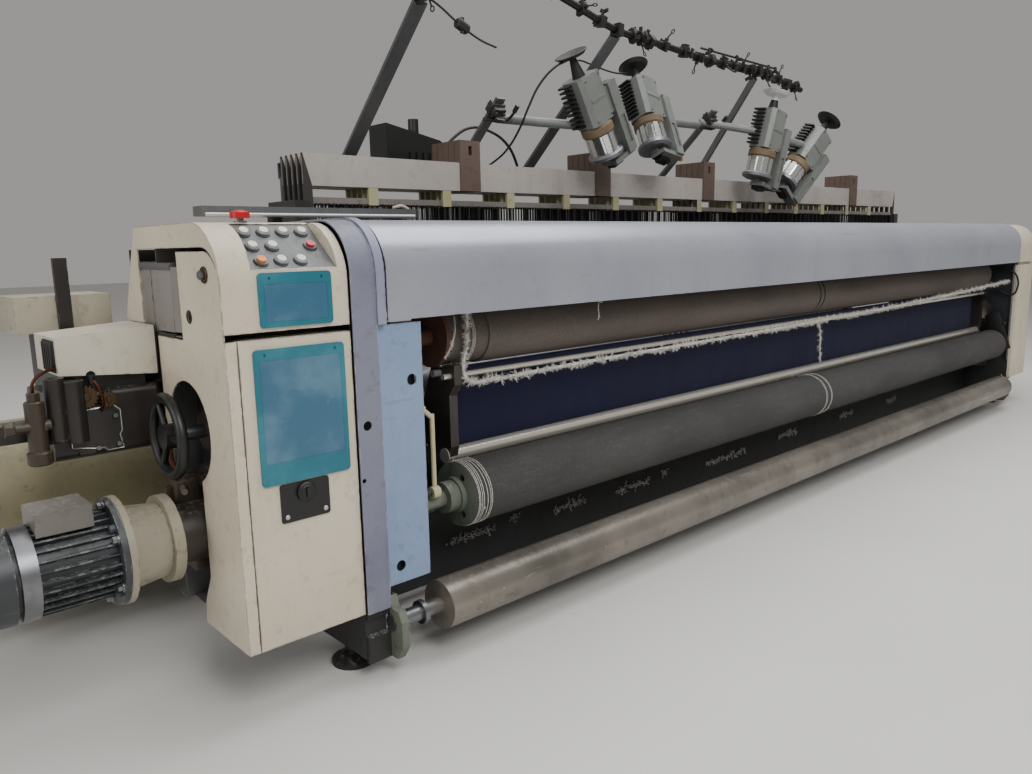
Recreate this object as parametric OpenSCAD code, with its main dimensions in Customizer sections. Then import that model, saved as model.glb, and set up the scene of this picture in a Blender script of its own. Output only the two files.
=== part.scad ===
// Wide projectile weaving loom, seen with its cloth side towards -Y.
// Millimetres, +X towards the receiving side, +Y towards the warp beam, +Z up, floor at z = 0.

/* [Side frames] */
// Inner face of the left side frame, seen along X
frame_left_x = -2411; // [-2420:1:-2400]
// Inner face of the right side frame, seen along X
frame_right_x = 2580; // [2576:1:2584]
// Thickness of each cast side frame
frame_wall = 65; // [55:1:67]
// Front edge of the side frames
frame_front_y = -880; // [-884:1:-876]
// Rear edge of the side frames
frame_rear_y = 800; // [780:1:840]
// Underside of the side frames' legs
leg_low_z = 60; // [55:1:66]
// Height of the side frames at the harness
frame_top_z = 1130; // [1110:1:1140]
// Height of the side frames at the back rest
frame_rear_top_z = 980; // [960:1:1000]

/* [Front covers] */
// Front of the breast cover
cover_front_y = -911; // [-920:1:-904]
// Top of the breast cover
cover_top_z = 1212; // [1200:1:1230]
// Lower front edge of the breast cover
cover_low_z = 958; // [940:1:980]
// Radius of the breast cover's front edge
cover_edge_r = 135; // [110:1:150]
// Rear edge of the breast cover
cover_rear_y = -560; // [-580:1:-540]
// Thickness of cover sheet
sheet_t = 4; // [3:0.5:5]
// Step by which the ring stands proud of the cover
ring_step = 6; // [4:1:8]
// Width of the ring at the cover's end
ring_width = 24; // [20:1:26]
// Width of the blue end panel
panel_width = 138; // [130:1:145]
// Lower edge of the blue end panel
panel_low_z = 251; // [235:1:270]
// Depth of the blue end panel's box
panel_depth = 20; // [16:1:21]

/* [Control column] */
// Outer side of the control column
column_left_x = -2800; // [-2810:1:-2795]
// Width of the return at the column's front corner
column_return = 30; // [26:1:34]
// Front of the control column
column_front_y = -900; // [-903:1:-897]
// Lower edge of the column's door
column_low_z = 199; // [190:1:210]
// Top of the column's door
door_top_z = 941; // [935:1:943]
// Lower edge of the column's head
head_low_z = 957; // [955:1:963]
// Top of the column's head
head_top_z = 1205; // [1200:1:1210]
// Radius of the column head's front edge
head_edge_r = 140; // [135:1:145]
// Width of the sloping button plate
plate_width = 216; // [212:1:220]
// Spacing of the push buttons across the plate
button_pitch = 49; // [46:1:51]
// Spacing of the push buttons up the plate
button_rise = 53; // [50:1:55]
// Diameter of a push button's cap
button_d = 21; // [18:0.5:23]
// Travel of a push button
button_travel = 4; // [3:0.5:4.5]
// Diameter of the stop button's head
stop_d = 46; // [43:1:48]
// Diameter of the selector knob
knob_d = 26; // [22:1:30]

/* [Hand wheel and motor] */
// Axis of the hand wheel, across the loom
wheel_y = -640; // [-642:1:-638]
// Axis of the hand wheel, above the floor
wheel_z = 698; // [696:1:702]
// Diameter of the hand wheel
wheel_d = 216; // [200:1:226]
// Thickness of the hand wheel's rim
wheel_rim_d = 26; // [22:1:30]
// Radius of the opening round the hand wheel
wheel_opening_r = 127; // [124:1:130]
// Axis of the motor, across the loom
motor_y = -623; // [-626:1:-620]
// Axis of the motor, above the floor
motor_z = 442; // [438:1:446]
// Far end of the motor's fan cover
motor_end_x = -3350; // [-3370:1:-3330]
// Diameter of the motor's flange
motor_flange_d = 258; // [250:1:266]
// Diameter of the motor's body under its fins
motor_body_d = 182; // [176:1:188]
// Height of the motor's cooling fins
fin_h = 14; // [10:1:16]
// Number of cooling fins
fin_count = 28; // [24:2:32]

/* [Rollers and bars] */
// Axis of the take-up roller, across the loom
take_up_y = -692; // [-694:1:-690]
// Axis of the take-up roller, above the floor
take_up_z = 878; // [876:1:880]
// Diameter of the take-up roller
take_up_d = 190; // [180:1:194]
// Axis of the sand roller, across the loom
sand_y = -813; // [-815:1:-811]
// Axis of the sand roller, above the floor
sand_z = 420; // [417:1:422]
// Diameter of the sand roller
sand_d = 192; // [184:1:196]
// Axis of the cloth tube, across the loom
tube_y = -900; // [-903:1:-897]
// Axis of the cloth tube, above the floor
tube_z = 148; // [145:1:152]
// Diameter of the cloth tube
tube_d = 140; // [130:1:144]
// Diameter of the roller journals
journal_d = 50; // [44:1:54]
// Diameter of the bright guide bar
bright_bar_d = 46; // [44:1:48]
// Height of the bright guide bar
bright_bar_z = 515; // [514:1:518]
// Diameter of the front tension bar
front_bar_d = 18; // [14:1:20]
// Diameter of the rear tension bar
rear_bar_d = 22; // [18:1:23]
// Height of the tension bars
tension_z = 762; // [758:1:766]
// Radial running clearance of every journal
running_gap = 0.05; // [0.02:0.01:0.1]

/* [Warp side] */
// Axis of the warp beam, across the loom
warp_y = 570; // [566:1:574]
// Axis of the warp beam, above the floor
warp_z = 470; // [460:1:476]
// Diameter of the warp beam's flanges
warp_flange_d = 800; // [760:10:810]
// Diameter of the warp beam's barrel
warp_barrel_d = 216; // [190:1:240]
// Axis of the back rest roller, across the loom
back_rest_y = 600; // [590:1:610]
// Diameter of the back rest roller
back_rest_d = 120; // [110:1:126]

/* [Harness] */
// Number of heald frames
heald_count = 5; // [5:1:5]
// Spacing of the heald frames, front to back
heald_pitch = 36; // [35:0.5:37]
// Left end of the heald frames
heald_left_x = -2161; // [-2166:1:-2156]
// Right end of the heald frames
heald_right_x = 2455; // [2450:1:2460]
// Front face of the foremost heald frame
heald_front_y = -121; // [-123:1:-119]
// Top of the heald frames
heald_top_z = 1455; // [1450:1:1460]
// Underside of the heald frames
heald_low_z = 905; // [900:1:910]
// Height of a heald frame's upper slat
slat_h = 106; // [100:1:110]
// Height of a heald frame's lower slat
slat_low_h = 80; // [70:1:90]
// Thickness of a heald frame's slats
slat_t = 14; // [12:0.5:16]
// Travel of a heald frame, up and down from level
heald_travel = 50; // [40:1:52]
// Width of a guide block on a heald frame
block_w = 100; // [90:1:110]
// Thickness of a guide block
block_t = 34; // [30:0.5:34]
// Spacing of the healds along a heald frame
heald_wire_pitch = 50; // [44:1:60]
// Height of the reed
reed_h = 110; // [100:1:116]
// Spacing of the reed's dents
dent_pitch = 41.5; // [40:0.5:46]

/* [Weft supply] */
// Height of the rail that carries the weft supply
rail_z = 1400; // [1395:1:1405]
// Front face of that rail
rail_y = 210; // [208:1:214]
// Section of that rail, front to back
rail_depth = 70; // [60:1:76]
// Section of that rail, up and down
rail_height = 60; // [50:1:66]
// Outer diameter of the yarn guide pipe
pipe_d = 28; // [24:1:32]
// Diameter of the feeder support tubes
support_d = 38; // [32:1:42]
// Diameter of a feeder's yarn drum
drum_d = 128; // [120:1:134]
// Length of a feeder's yarn drum
drum_len = 78; // [72:1:84]
// Diameter of a feeder's inlet disc
disc_d = 140; // [130:1:146]
// Length of a feeder's housing
feeder_len = 200; // [192:1:206]

/* [Floor] */
// Diameter of a levelling pad
pad_d = 120; // [100:1:140]
// Thickness of a levelling pad
pad_t = 20; // [16:1:24]

/* [Hidden] */
$fn = 48;

// Gap that keeps parts of different bodies and seated parts from rubbing
seat_gap = 0.3;

// Side frames
frame_left_out = frame_left_x - frame_wall;
frame_right_out = frame_right_x + frame_wall;
frame_arch_r = 120;
frame_arch_top = 1180;
frame_arch_back = -520;
leg_len = 250;
belly_z = 160;
web_step = 14;
slope_y = 180;
rear_step_y = 440;
window_r = 40;

// Gear case cast on the inside of the left frame
case_x = frame_left_x + 126;
case_low_z = panel_low_z - 11;
case_top_z = cover_low_z - 18;
case_rear_y = -560;

// Cross beams: ends, then front edge, width, low edge and height of each box section
beam_left_x = frame_left_x - web_step + seat_gap;
beam_right_x = frame_right_x + web_step - seat_gap;
girder_y = -330;
girder_z = 180;
girder_w = 220;
girder_h = 260;
front_beam_y = -628;
front_beam_z = 70;
front_beam_w = 120;
front_beam_h = 240;
tie_y = -628;
tie_z = 560;
tie_w = 80;
tie_h = 120;
breast_y = -600;
breast_z = 1040;
breast_w = 80;
breast_h = 100;
rear_beam_y = 560;
rear_beam_z = 895;
rear_beam_w = 80;
rear_beam_h = 80;
beam_wall = 10;

// Front covers
cover_left_x = frame_left_x + 32;
cover_right_x = frame_right_x - 6;
end_cover_left = frame_left_out - 6;
end_cover_right = frame_left_x - 1;
end_cover_low_z = column_low_z;

// Control column
column_right_x = end_cover_left - 2;
door_left_x = column_left_x + column_return;
door_depth = 60;
column_rear_y = -380;
head_window_top = head_top_z - 56;
head_window_r = 85;
head_strip_y = -393;
side_gap = 9;
tongue_rear_y = -660;
side_top_z = 930;
side_rear_y = -490;
side_low_rear_y = -700;
wheel_opening_y = wheel_y - 8;
wheel_opening_z = wheel_z + 4;
slope_low = [column_front_y + 4, head_top_z - 108];
slope_high = [column_front_y + head_edge_r - 2, head_top_z - 1];
slope_run = slope_high - slope_low;
slope_angle = atan2(slope_run[1], slope_run[0]);
slope_len = norm(slope_run);
plate_left_x = column_left_x + 75;
plate_mid_x = plate_left_x + plate_width / 2;
plate_t = 4;
cheek_t = 4;
ledge_w = 7;
bezel_d = button_d + 8;
bezel_h = 5;
button_stem_d = 8;
button_fit = 0.2;
// Column and row of each button, counted from the lower left
button_places = [[0, 2], [1, 2], [2, 2], [3, 2], [0, 1], [1, 1], [3, 1], [0, 0], [1, 0], [2, 0]];
button_low = 26;
stop_x = column_left_x + 126;
stop_y = column_front_y + head_edge_r + 12;
stop_stem_d = 16;
stop_travel = 5;

// Card pockets: left, low and size of each, then the selector plate
pocket_rim = 26;
pocket_t = 3;
pocket_gap = 3;
window_t = 2;
big_pocket = [column_left_x + 61, 598, 232, 320];
small_pocket = [column_left_x + 85, 966, 184, 124];
selector_plate = [column_left_x + 103, 500, 128, 94];
selector_t = 4;
knob_x = selector_plate[0] + 65;
knob_z = selector_plate[1] + 68;
knob_stem_d = 10;

// Hand wheel and its shaft
wheel_x = column_left_x - 50;
wheel_shaft_d = 34;
wheel_hub_d = 62;
wheel_shaft_end = frame_left_out - 180;
spoke_d = 16;

// Drive housing behind the column
drive_left_x = -2720;
drive_neck_d = 150;
drive_y = [-760, -500];
drive_z = [300, 810];

// Motor stations along X, outwards from the column
adaptor_right_x = column_left_x - 62;
adaptor_ring_t = 26;
adaptor_left_x = -2978;
motor_ring_t = 16;
motor_disc_t = 14;
motor_fins_x = -3170;
motor_shroud_x = -3206;
motor_cap_x = -3216;
motor_cap_r = 30;
motor_cap_d = motor_body_d + 2 * fin_h + 6;

// Picking and receiving units at the ends
pick_left_x = -3060;
pick_y = [-470, -250];
pick_z = [640, 831];
pick_cover_x = [-3035, column_left_x - 6];
pick_cover_y = [-480, -280];
receive_end_x = 3350;
receive_left_x = frame_right_out + 6;
receive_y = [-470, -250];
column2_left_x = frame_right_x + 6;
column2_right_x = column2_left_x + 310;
column2_low_z = 186;

// Shedding housing at the lower left
shed_left_x = -3230;
shed_y = [-60, 480];
shed_low_z = 150;
shed_r = 270;

// Roller stations
sand_left_x = frame_left_x + 304;
sand_right_x = frame_right_x - 46;
take_up_left_x = frame_left_x + 323;
take_up_neck_x = take_up_left_x + 152;
take_up_right_x = frame_right_x - 130;
tube_left_x = frame_left_x + 165;
tube_right_x = frame_right_x - 156;
tube_journal_d = 44;
bearing_flange_t = 12;
bearing_flange_d = 118;
bearing_boss_d = 84;
bearing_boss_h = 34;

// Bars between the rollers
bright_bar_y = -727;
front_bar_y = -761;
rear_bar_y = -712;
rear_bar_z = tension_z + 6;
bracket_t = 30;
bracket_left_x = frame_left_x + 336;
bracket_right_x = frame_right_x - 184;
bracket_low_z = 498;
bracket_top_z = 795;
bar_fit = 0.1;

// Cloth that hangs between the bars
web_t = 2;
web_low_z = 480;
web_left_x = bracket_left_x + bracket_t + 12;
web_right_x = bracket_right_x - 12;

// Beam brackets
hook_t = 24;
hook_left_x = frame_left_x + 6;
hook_right_x = frame_right_x - 140;
hook_low_z = 50;
hook_top_z = 195;

// Waste rope: radius and the points of its route
rope_r = 7;
rope_route = [
    [-2034, -799, 975], [-2035, -799, 920], [-2036, -795, 860], [-2037.7, -780, 785],
    [-2034, -786, 755], [-2010, -788, 740], [-1960, -789, 738], [-1700, -790, 742],
    [-1417, -791, 746], [-1000, -795, 749], [-600, -799, 752], [-200, -803, 756],
    [139, -807, 761], [560, -813, 768], [1000, -820, 778], [1400, -828, 791],
    [1800, -837, 803], [2140, -845, 817], [2400, -853, 828], [2572.7, -858, 836]
];

// Lever beside the sand roller
lever_x = frame_left_x + 200;
lever_y = -850;
lever_z = 458;
lever_pin_d = 16;
lever_boss_d = 34;
lever_boss_t = 24;
lever_rod_d = 14;
lever_rise = 215;

// Warp side
warp_left_x = -2215;
warp_right_x = 2405;
warp_flange_t = 16;
back_rest_z = frame_rear_top_z + 74;
back_rest_left_x = frame_left_x + 130;
back_rest_right_x = frame_right_x - 130;
stop_y0 = 200;
stop_rail_z = 1110;

// Harness
strut_w = 30;
block_places = [-1446, -667, 162, 1052, 1806];
block_rise = 85;
heald_bar_h = 20;
heald_bar_z = heald_top_z - slat_h - 57;
heald_bar_low_z = heald_low_z + slat_low_h + 34;
clip_pitch = 330;
clip_w = 40;
guide_t = 60;
guide_clear = 0.6;
guide_low_z = 880;
guide_top_z = 1300;
lift_rod_w = 16;

// Sley and reed
sley_pivot_y = -215;
sley_pivot_z = 850;
sley_shaft_d = 56;
sley_left_x = heald_left_x + 10;
sley_right_x = heald_right_x - 10;
sley_beam_z = 1010;
sley_beam_h = 80;
sley_beam_y = [-250, -180];
reed_y = -206;
reed_t = 6;
reed_frame = 10;
dent_w = 7.5;
sley_leg_count = 7;
tooth_pitch = 80;

// Weft supply
rail_left_x = frame_left_x + 361;
rail_right_x = frame_right_x - 230;
rail_foot_z = frame_top_z + 20 + seat_gap;
upright_w = 50;
post_w = 56;
post_t = 12;
post_base = [rail_y + 4, rail_z + rail_height + 16];
post_tops = [[-1790, -304, 1946], [-830, -332, 1970]];
post3_base = [500, rail_y + 4, rail_z + rail_height + 16];
post3_top = [276, -308, 1946];
arm_places = [[-1225, -66, 1728], [180, -141, 1797]];
feeder_tubes = [
    [[-1165, 34, 1665], [-880, -262, 1620]], [[140, -75, 1745], [400, -285, 1690]],
    [[156, -66, 1729], [-400, -215, 1690]], [[450, -300, 1680], [800, -325, 1640]]
];
pipe_route = [
    [-1800, -318, 1962], [-1640, -318, 2052], [-1450, -320, 2102], [-1250, -326, 2092],
    [-1059, -338, 2046], [-830, -344, 1992], [-509, -338, 1980], [-216, -330, 1968],
    [30, -326, 1966], [276, -322, 1970], [500, -316, 1954], [734, -308, 1932]
];
// Inlet end of each feeder, with its turns about X and Y
feeder_places = [
    [-1016, -262, 1886, 0, -29.6], [-397, -76, 1947, -24.7, 9.4],
    [477, -314, 1887, 6.7, 11.3], [929, -376, 1779, 14.8, 38]
];
feeder_neck = 90;
feeder_w = 128;
feeder_depth = 118;
feeder_ring_h = 46;
feeder_ring_d = 140;
feeder_flange_h = 30;
fin_rows = 10;

// Thin box profile with one rounded front upper corner, in Y and Z
module arch_profile(front, back, low, high, r) {
    union() {
        translate([front + r, low])
            square([back - front - r, high - low]);
        translate([front, low])
            square([r + 1, high - r - low]);
        translate([front + r, high - r])
            intersection() {
                circle(r, $fn = 96);
                translate([-r, -1])
                    square([r + 1, r + 1]);
            }
    }
}

// Rectangle with round corners, from its lower left corner
module round_rect(w, h, r) {
    union() {
        translate([r, 0])
            square([w - 2 * r, h]);
        translate([0, r])
            square([w, h - 2 * r]);
        for (x = [r, w - r])
            for (y = [r, h - r])
                translate([x, y])
                    circle(r, $fn = 24);
    }
}

// Profile in Y and Z drawn out along X
module along_x(from, to) {
    translate([from, 0, 0])
        rotate([90, 0, 90])
            linear_extrude(height = to - from)
                children();
}

// Profile in X and Z drawn out towards the front
module towards_front(from, depth) {
    translate([0, from, 0])
        rotate([90, 0, 0])
            linear_extrude(height = depth)
                children();
}

module rod_x(from, to, y, z, d) {
    translate([from, y, z])
        rotate([0, 90, 0])
            cylinder(h = to - from, d = d);
}

module tube_x(from, to, y, z, d, bore) {
    translate([from, y, z])
        rotate([0, 90, 0])
            difference() {
                cylinder(h = to - from, d = d);
                translate([0, 0, -1])
                    cylinder(h = to - from + 2, d = bore);
            }
}

// Puts the Z axis on the line from one point to another
module aim(from, to) {
    v = to - from;
    translate(from)
        rotate([0, acos(v[2] / norm(v)), atan2(v[1], v[0])])
            children();
}

// Roller tube along X with end discs that have lightening holes
module roller(from, to, y, z, d, wall, disc_t) {
    difference() {
        rod_x(from, to, y, z, d);
        rod_x(from + disc_t, to - disc_t, y, z, d - 2 * wall);
        for (a = [0 : 120 : 240])
            rod_x(from - 1, to + 1, y + d * 0.33 * cos(a), z + d * 0.33 * sin(a), d * 0.11);
    }
}

module rod(from, to, d) {
    aim(from, to)
        cylinder(h = norm(to - from), d = d);
}

// Hollow box beam along X
module box_beam(from, to, y, z, w, h, wall) {
    along_x(from, to)
        difference() {
            translate([y, z])
                round_rect(w, h, wall);
            translate([y + wall, z + wall])
                square([w - 2 * wall, h - 2 * wall]);
        }
}

// Unit direction of a route at one of its points
function heading(path, i) =
    let (a = path[max(i - 1, 0)], b = path[min(i + 1, len(path) - 1)])
    (b - a) / norm(b - a);

// Point between route points i and i + 1, on a smooth curve through all of them
function on_curve(path, i, t) =
    let (
        last = len(path) - 1,
        a = path[max(i - 1, 0)],
        b = path[i],
        c = path[min(i + 1, last)],
        d = path[min(i + 2, last)]
    )
    0.5 * (2 * b + (c - a) * t + (2 * a - 5 * b + 4 * c - d) * t * t
        + (3 * b - a - 3 * c + d) * t * t * t);

function smooth_route(path, steps) = [
    for (i = [0 : len(path) - 2])
        for (k = [0 : steps - 1])
            on_curve(path, i, k / steps),
    path[len(path) - 1]
];

function ring_points(centre, dir, r, sides) =
    let (
        side = cross(dir, abs(dir[2]) > 0.9 ? [0, 1, 0] : [0, 0, 1]),
        u = side / norm(side),
        v = cross(u, dir)
    )
    [for (k = [0 : sides - 1]) centre + r * (cos(360 * k / sides) * u + sin(360 * k / sides) * v)];

// Tube of round section swept along a route
module swept_tube(path, r, sides) {
    rings = len(path);
    points = [for (i = [0 : rings - 1]) each ring_points(path[i], heading(path, i), r, sides)];
    sides_faces = [
        for (i = [0 : rings - 2])
            for (k = [0 : sides - 1])
                let (a = i * sides + k, b = i * sides + (k + 1) % sides)
                [a, b, b + sides, a + sides]
    ];
    start_face = [for (k = [sides - 1 : -1 : 0]) k];
    end_face = [for (k = [0 : sides - 1]) (rings - 1) * sides + k];
    polyhedron(points = points, faces = concat(sides_faces, [start_face, end_face]));
}

// Cast side frame in Y and Z, with its legs, windows and rear step
module frame_profile() {
    difference() {
        union() {
            arch_profile(frame_front_y, frame_arch_back, belly_z, frame_arch_top, frame_arch_r);
            translate([frame_front_y, leg_low_z])
                square([leg_len, belly_z - leg_low_z + 1]);
            translate([frame_rear_y - leg_len, leg_low_z])
                square([leg_len, belly_z - leg_low_z + 1]);
            polygon([
                [frame_arch_back - 1, belly_z], [frame_rear_y, belly_z],
                [frame_rear_y, frame_rear_top_z - 60], [frame_rear_y - 60, frame_rear_top_z],
                [rear_step_y, frame_rear_top_z], [rear_step_y - 60, frame_top_z - 70],
                [slope_y, frame_top_z - 70], [slope_y - 90, frame_top_z],
                [frame_arch_back - 1, frame_top_z]
            ]);
        }
        translate([-490, 490])
            round_rect(320, 540, window_r);
        translate([-70, 250])
            round_rect(300, 620, window_r);
        for (p = [[680, 780], [400, 800], [-700, 640]])
            translate(p)
                circle(d = 130);
        translate([-760, 240])
            round_rect(110, 90, 30);
    }
}

// Raised edge that stiffens the casting round one window
module window_rib(from, to, y, z, w, h) {
    along_x(from, to)
        difference() {
            translate([y - 22, z - 22])
                round_rect(w + 44, h + 44, window_r + 22);
            translate([y, z])
                round_rect(w, h, window_r);
        }
}

// Casting of one side frame, with full thickness at its legs and window ribs
module side_casting(from, to) {
    along_x(from + web_step, to - web_step)
        frame_profile();
    window_rib(from, to, -490, 490, 320, 540);
    window_rib(from, to, -70, 250, 300, 620);
    along_x(from, to) {
        difference() {
            translate([frame_front_y, leg_low_z])
                square([leg_len, 1100 - leg_low_z]);
            translate([-760, 240])
                round_rect(110, 90, 30);
            translate([-700, 640])
                circle(d = 130);
        }
        difference() {
            translate([frame_rear_y - leg_len - 120, leg_low_z])
                square([leg_len + 120, 860 - leg_low_z]);
            translate([frame_rear_y - leg_len - 121, leg_low_z - 1])
                square([121, belly_z - leg_low_z + 1]);
            translate([680, 780])
                circle(d = 130);
        }
    }
}

module frame_left() {
    color("dimgray") {
        side_casting(frame_left_out, frame_left_x);
        along_x(frame_left_x - 1, case_x)
            translate([frame_front_y + seat_gap, case_low_z])
                round_rect(case_rear_y - frame_front_y - seat_gap, case_top_z - case_low_z, 12);
        for (z = [300, 560, 860])
            translate([frame_left_out + 16, cover_front_y + sheet_t + seat_gap, z])
                cube([30, frame_front_y - cover_front_y - sheet_t, 40]);
        translate([frame_left_out + 16, -720, frame_arch_top - 1])
            cube([30, 60, cover_top_z - sheet_t - seat_gap - frame_arch_top + 1]);
    }
}

module frame_right() {
    color("dimgray")
        side_casting(frame_right_x, frame_right_out);
}

module cross_beams() {
    color("darkslategray") {
        box_beam(beam_left_x, beam_right_x, girder_y, girder_z, girder_w, girder_h, beam_wall);
        box_beam(case_x, beam_right_x, front_beam_y, front_beam_z, front_beam_w, front_beam_h,
            beam_wall);
        box_beam(case_x, beam_right_x, tie_y, tie_z, tie_w, tie_h, beam_wall);
        box_beam(beam_left_x, beam_right_x, breast_y, breast_z, breast_w, breast_h, beam_wall);
        for (x = [-2300, -760, 860, 2480])
            along_x(x, x + 10)
                arch_profile(cover_front_y + sheet_t + seat_gap, cover_rear_y - sheet_t - seat_gap,
                    breast_z, cover_top_z - sheet_t - seat_gap, cover_edge_r - sheet_t - seat_gap);
        box_beam(beam_left_x, beam_right_x, rear_beam_y, rear_beam_z, rear_beam_w, rear_beam_h,
            beam_wall);
    }
}

// Levelling pad with its screw and lock nut, up to the height z
module levelling_foot(x, y, z) {
    translate([x, y, 0]) {
        rotate_extrude()
            polygon([
                [0, 0], [pad_d / 2, 0], [pad_d / 2, pad_t * 0.6], [pad_d / 4, pad_t],
                [0, pad_t]
            ]);
        cylinder(h = z, d = 28);
        translate([0, 0, z - 18])
            cylinder(h = 18, d = 52, $fn = 6);
    }
}

module machine_feet() {
    color("black") {
        for (x = [frame_left_x - frame_wall / 2, frame_right_x + frame_wall / 2])
            for (y = [frame_front_y + leg_len / 2, frame_rear_y - leg_len / 2])
                levelling_foot(x, y, leg_low_z);
        for (x = [-1250, 1420])
            for (y = [girder_y + 50, girder_y + girder_w - 50])
                levelling_foot(x, y, girder_z);
    }
}

// Blue sheet panel in front of the gear case
module end_panel() {
    low = panel_low_z;
    high = cover_low_z - 10;
    front = column_front_y;
    color("lightsteelblue")
        difference() {
            translate([frame_left_x + 1, front, low])
                cube([panel_width, panel_depth, high - low]);
            translate([frame_left_x + 1 + sheet_t, front + sheet_t, low + sheet_t])
                cube([panel_width - 2 * sheet_t, panel_depth, high - low - 2 * sheet_t]);
            for (z = [low + 48, high - 150])
                translate([frame_left_x + (z < 400 ? 44 : 104), front - 1, z])
                    rotate([-90, 0, 0])
                        cylinder(h = sheet_t + 2, d = 30);
        }
}

// Long rolled cover over the breast beam
module breast_cover() {
    color("silver")
        along_x(cover_left_x, cover_right_x)
            union() {
                difference() {
                    arch_profile(cover_front_y, cover_rear_y, cover_low_z, cover_top_z, cover_edge_r);
                    arch_profile(cover_front_y + sheet_t, cover_rear_y + 1, cover_low_z - 1,
                        cover_top_z - sheet_t, cover_edge_r - sheet_t);
                }
                translate([cover_front_y, cover_low_z])
                    square([34, sheet_t]);
                translate([cover_rear_y - sheet_t, cover_top_z - 60])
                    square([sheet_t, 60]);
            }
}

// Blue-grey skin over the left frame, with the proud ring beside the breast cover
module end_cover() {
    ring_front = cover_front_y - ring_step;
    ring_top = cover_top_z + ring_step;
    color("lightslategray") {
        difference() {
            along_x(end_cover_left, end_cover_right)
                difference() {
                    arch_profile(cover_front_y, cover_rear_y, end_cover_low_z, cover_top_z,
                        cover_edge_r);
                    arch_profile(cover_front_y + sheet_t, cover_rear_y + 1, end_cover_low_z - 1,
                        cover_top_z - sheet_t, cover_edge_r - sheet_t);
                }
            for (p = [[27, 699, 25], [9, 559, 12]])
                translate([end_cover_left + p[0], cover_front_y - 1, p[1]])
                    rotate([-90, 0, 0])
                        cylinder(h = sheet_t + 2, d = p[2]);
        }
        along_x(end_cover_right - 1, end_cover_right + ring_width)
            difference() {
                arch_profile(ring_front, cover_rear_y, cover_low_z - 8, ring_top,
                    cover_edge_r + ring_step);
                arch_profile(cover_front_y + sheet_t, cover_rear_y + 1, cover_low_z - 9,
                    cover_top_z - sheet_t, cover_edge_r - sheet_t);
            }
        along_x(end_cover_left, end_cover_right)
            translate([cover_rear_y - sheet_t, frame_arch_top])
                square([sheet_t, cover_top_z - frame_arch_top]);
    }
}

// Side panel of the column with its tongue, its front return and the hand wheel's opening
module column_side() {
    top = head_window_top - side_gap;
    front = column_front_y + sheet_t + 1;
    color("antiquewhite") {
        difference() {
            along_x(column_left_x, column_left_x + sheet_t)
                union() {
                    polygon([
                        [front, column_low_z], [side_low_rear_y + 54, column_low_z],
                        [side_low_rear_y + 45, column_low_z + 64],
                        [side_low_rear_y, column_low_z + 141],
                        [side_low_rear_y, wheel_opening_z - 62], [side_rear_y, wheel_opening_z - 62],
                        [side_rear_y, side_top_z], [tongue_rear_y, side_top_z],
                        [tongue_rear_y, side_top_z + 20], [front, side_top_z + 20]
                    ]);
                    arch_profile(front, tongue_rear_y, side_top_z, top, head_window_r - side_gap);
                }
            rod_x(column_left_x - 1, column_left_x + sheet_t + 1, wheel_opening_y,
                wheel_opening_z, 2 * wheel_opening_r);
            for (p = [[-822, top - 52, 34], [-712, top - 151, 30]])
                rod_x(column_left_x - 1, column_left_x + sheet_t + 1, p[0], p[1], p[2]);
        }
        translate([column_left_x, column_front_y, column_low_z])
            cube([column_return - 3, sheet_t, door_top_z - column_low_z]);
        translate([column_left_x, column_front_y, column_low_z])
            cube([sheet_t, sheet_t + 2, door_top_z - column_low_z]);
        translate([column_left_x, column_front_y + sheet_t + 1, column_low_z])
            cube([column_return - 3, side_low_rear_y - column_front_y - 30, sheet_t]);
    }
}

// Front door of the column: a shallow tray
module column_door() {
    w = column_right_x - door_left_x;
    h = door_top_z - column_low_z;
    color("antiquewhite")
        difference() {
            translate([door_left_x, column_front_y, column_low_z])
                cube([w, door_depth, h]);
            translate([door_left_x + sheet_t, column_front_y + sheet_t, column_low_z + sheet_t])
                cube([w - 2 * sheet_t, door_depth, h - 2 * sheet_t]);
            translate([knob_x, column_front_y - 1, knob_z])
                rotate([-90, 0, 0])
                    cylinder(h = sheet_t + 2, d = knob_stem_d + 4);
        }
}

// Places children on the sloping button plate, at a distance up the slope
module on_slope(x, along) {
    translate([x, slope_low[0], slope_low[1]])
        rotate([slope_angle, 0, 0])
            translate([0, along, 0])
                children();
}

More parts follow.
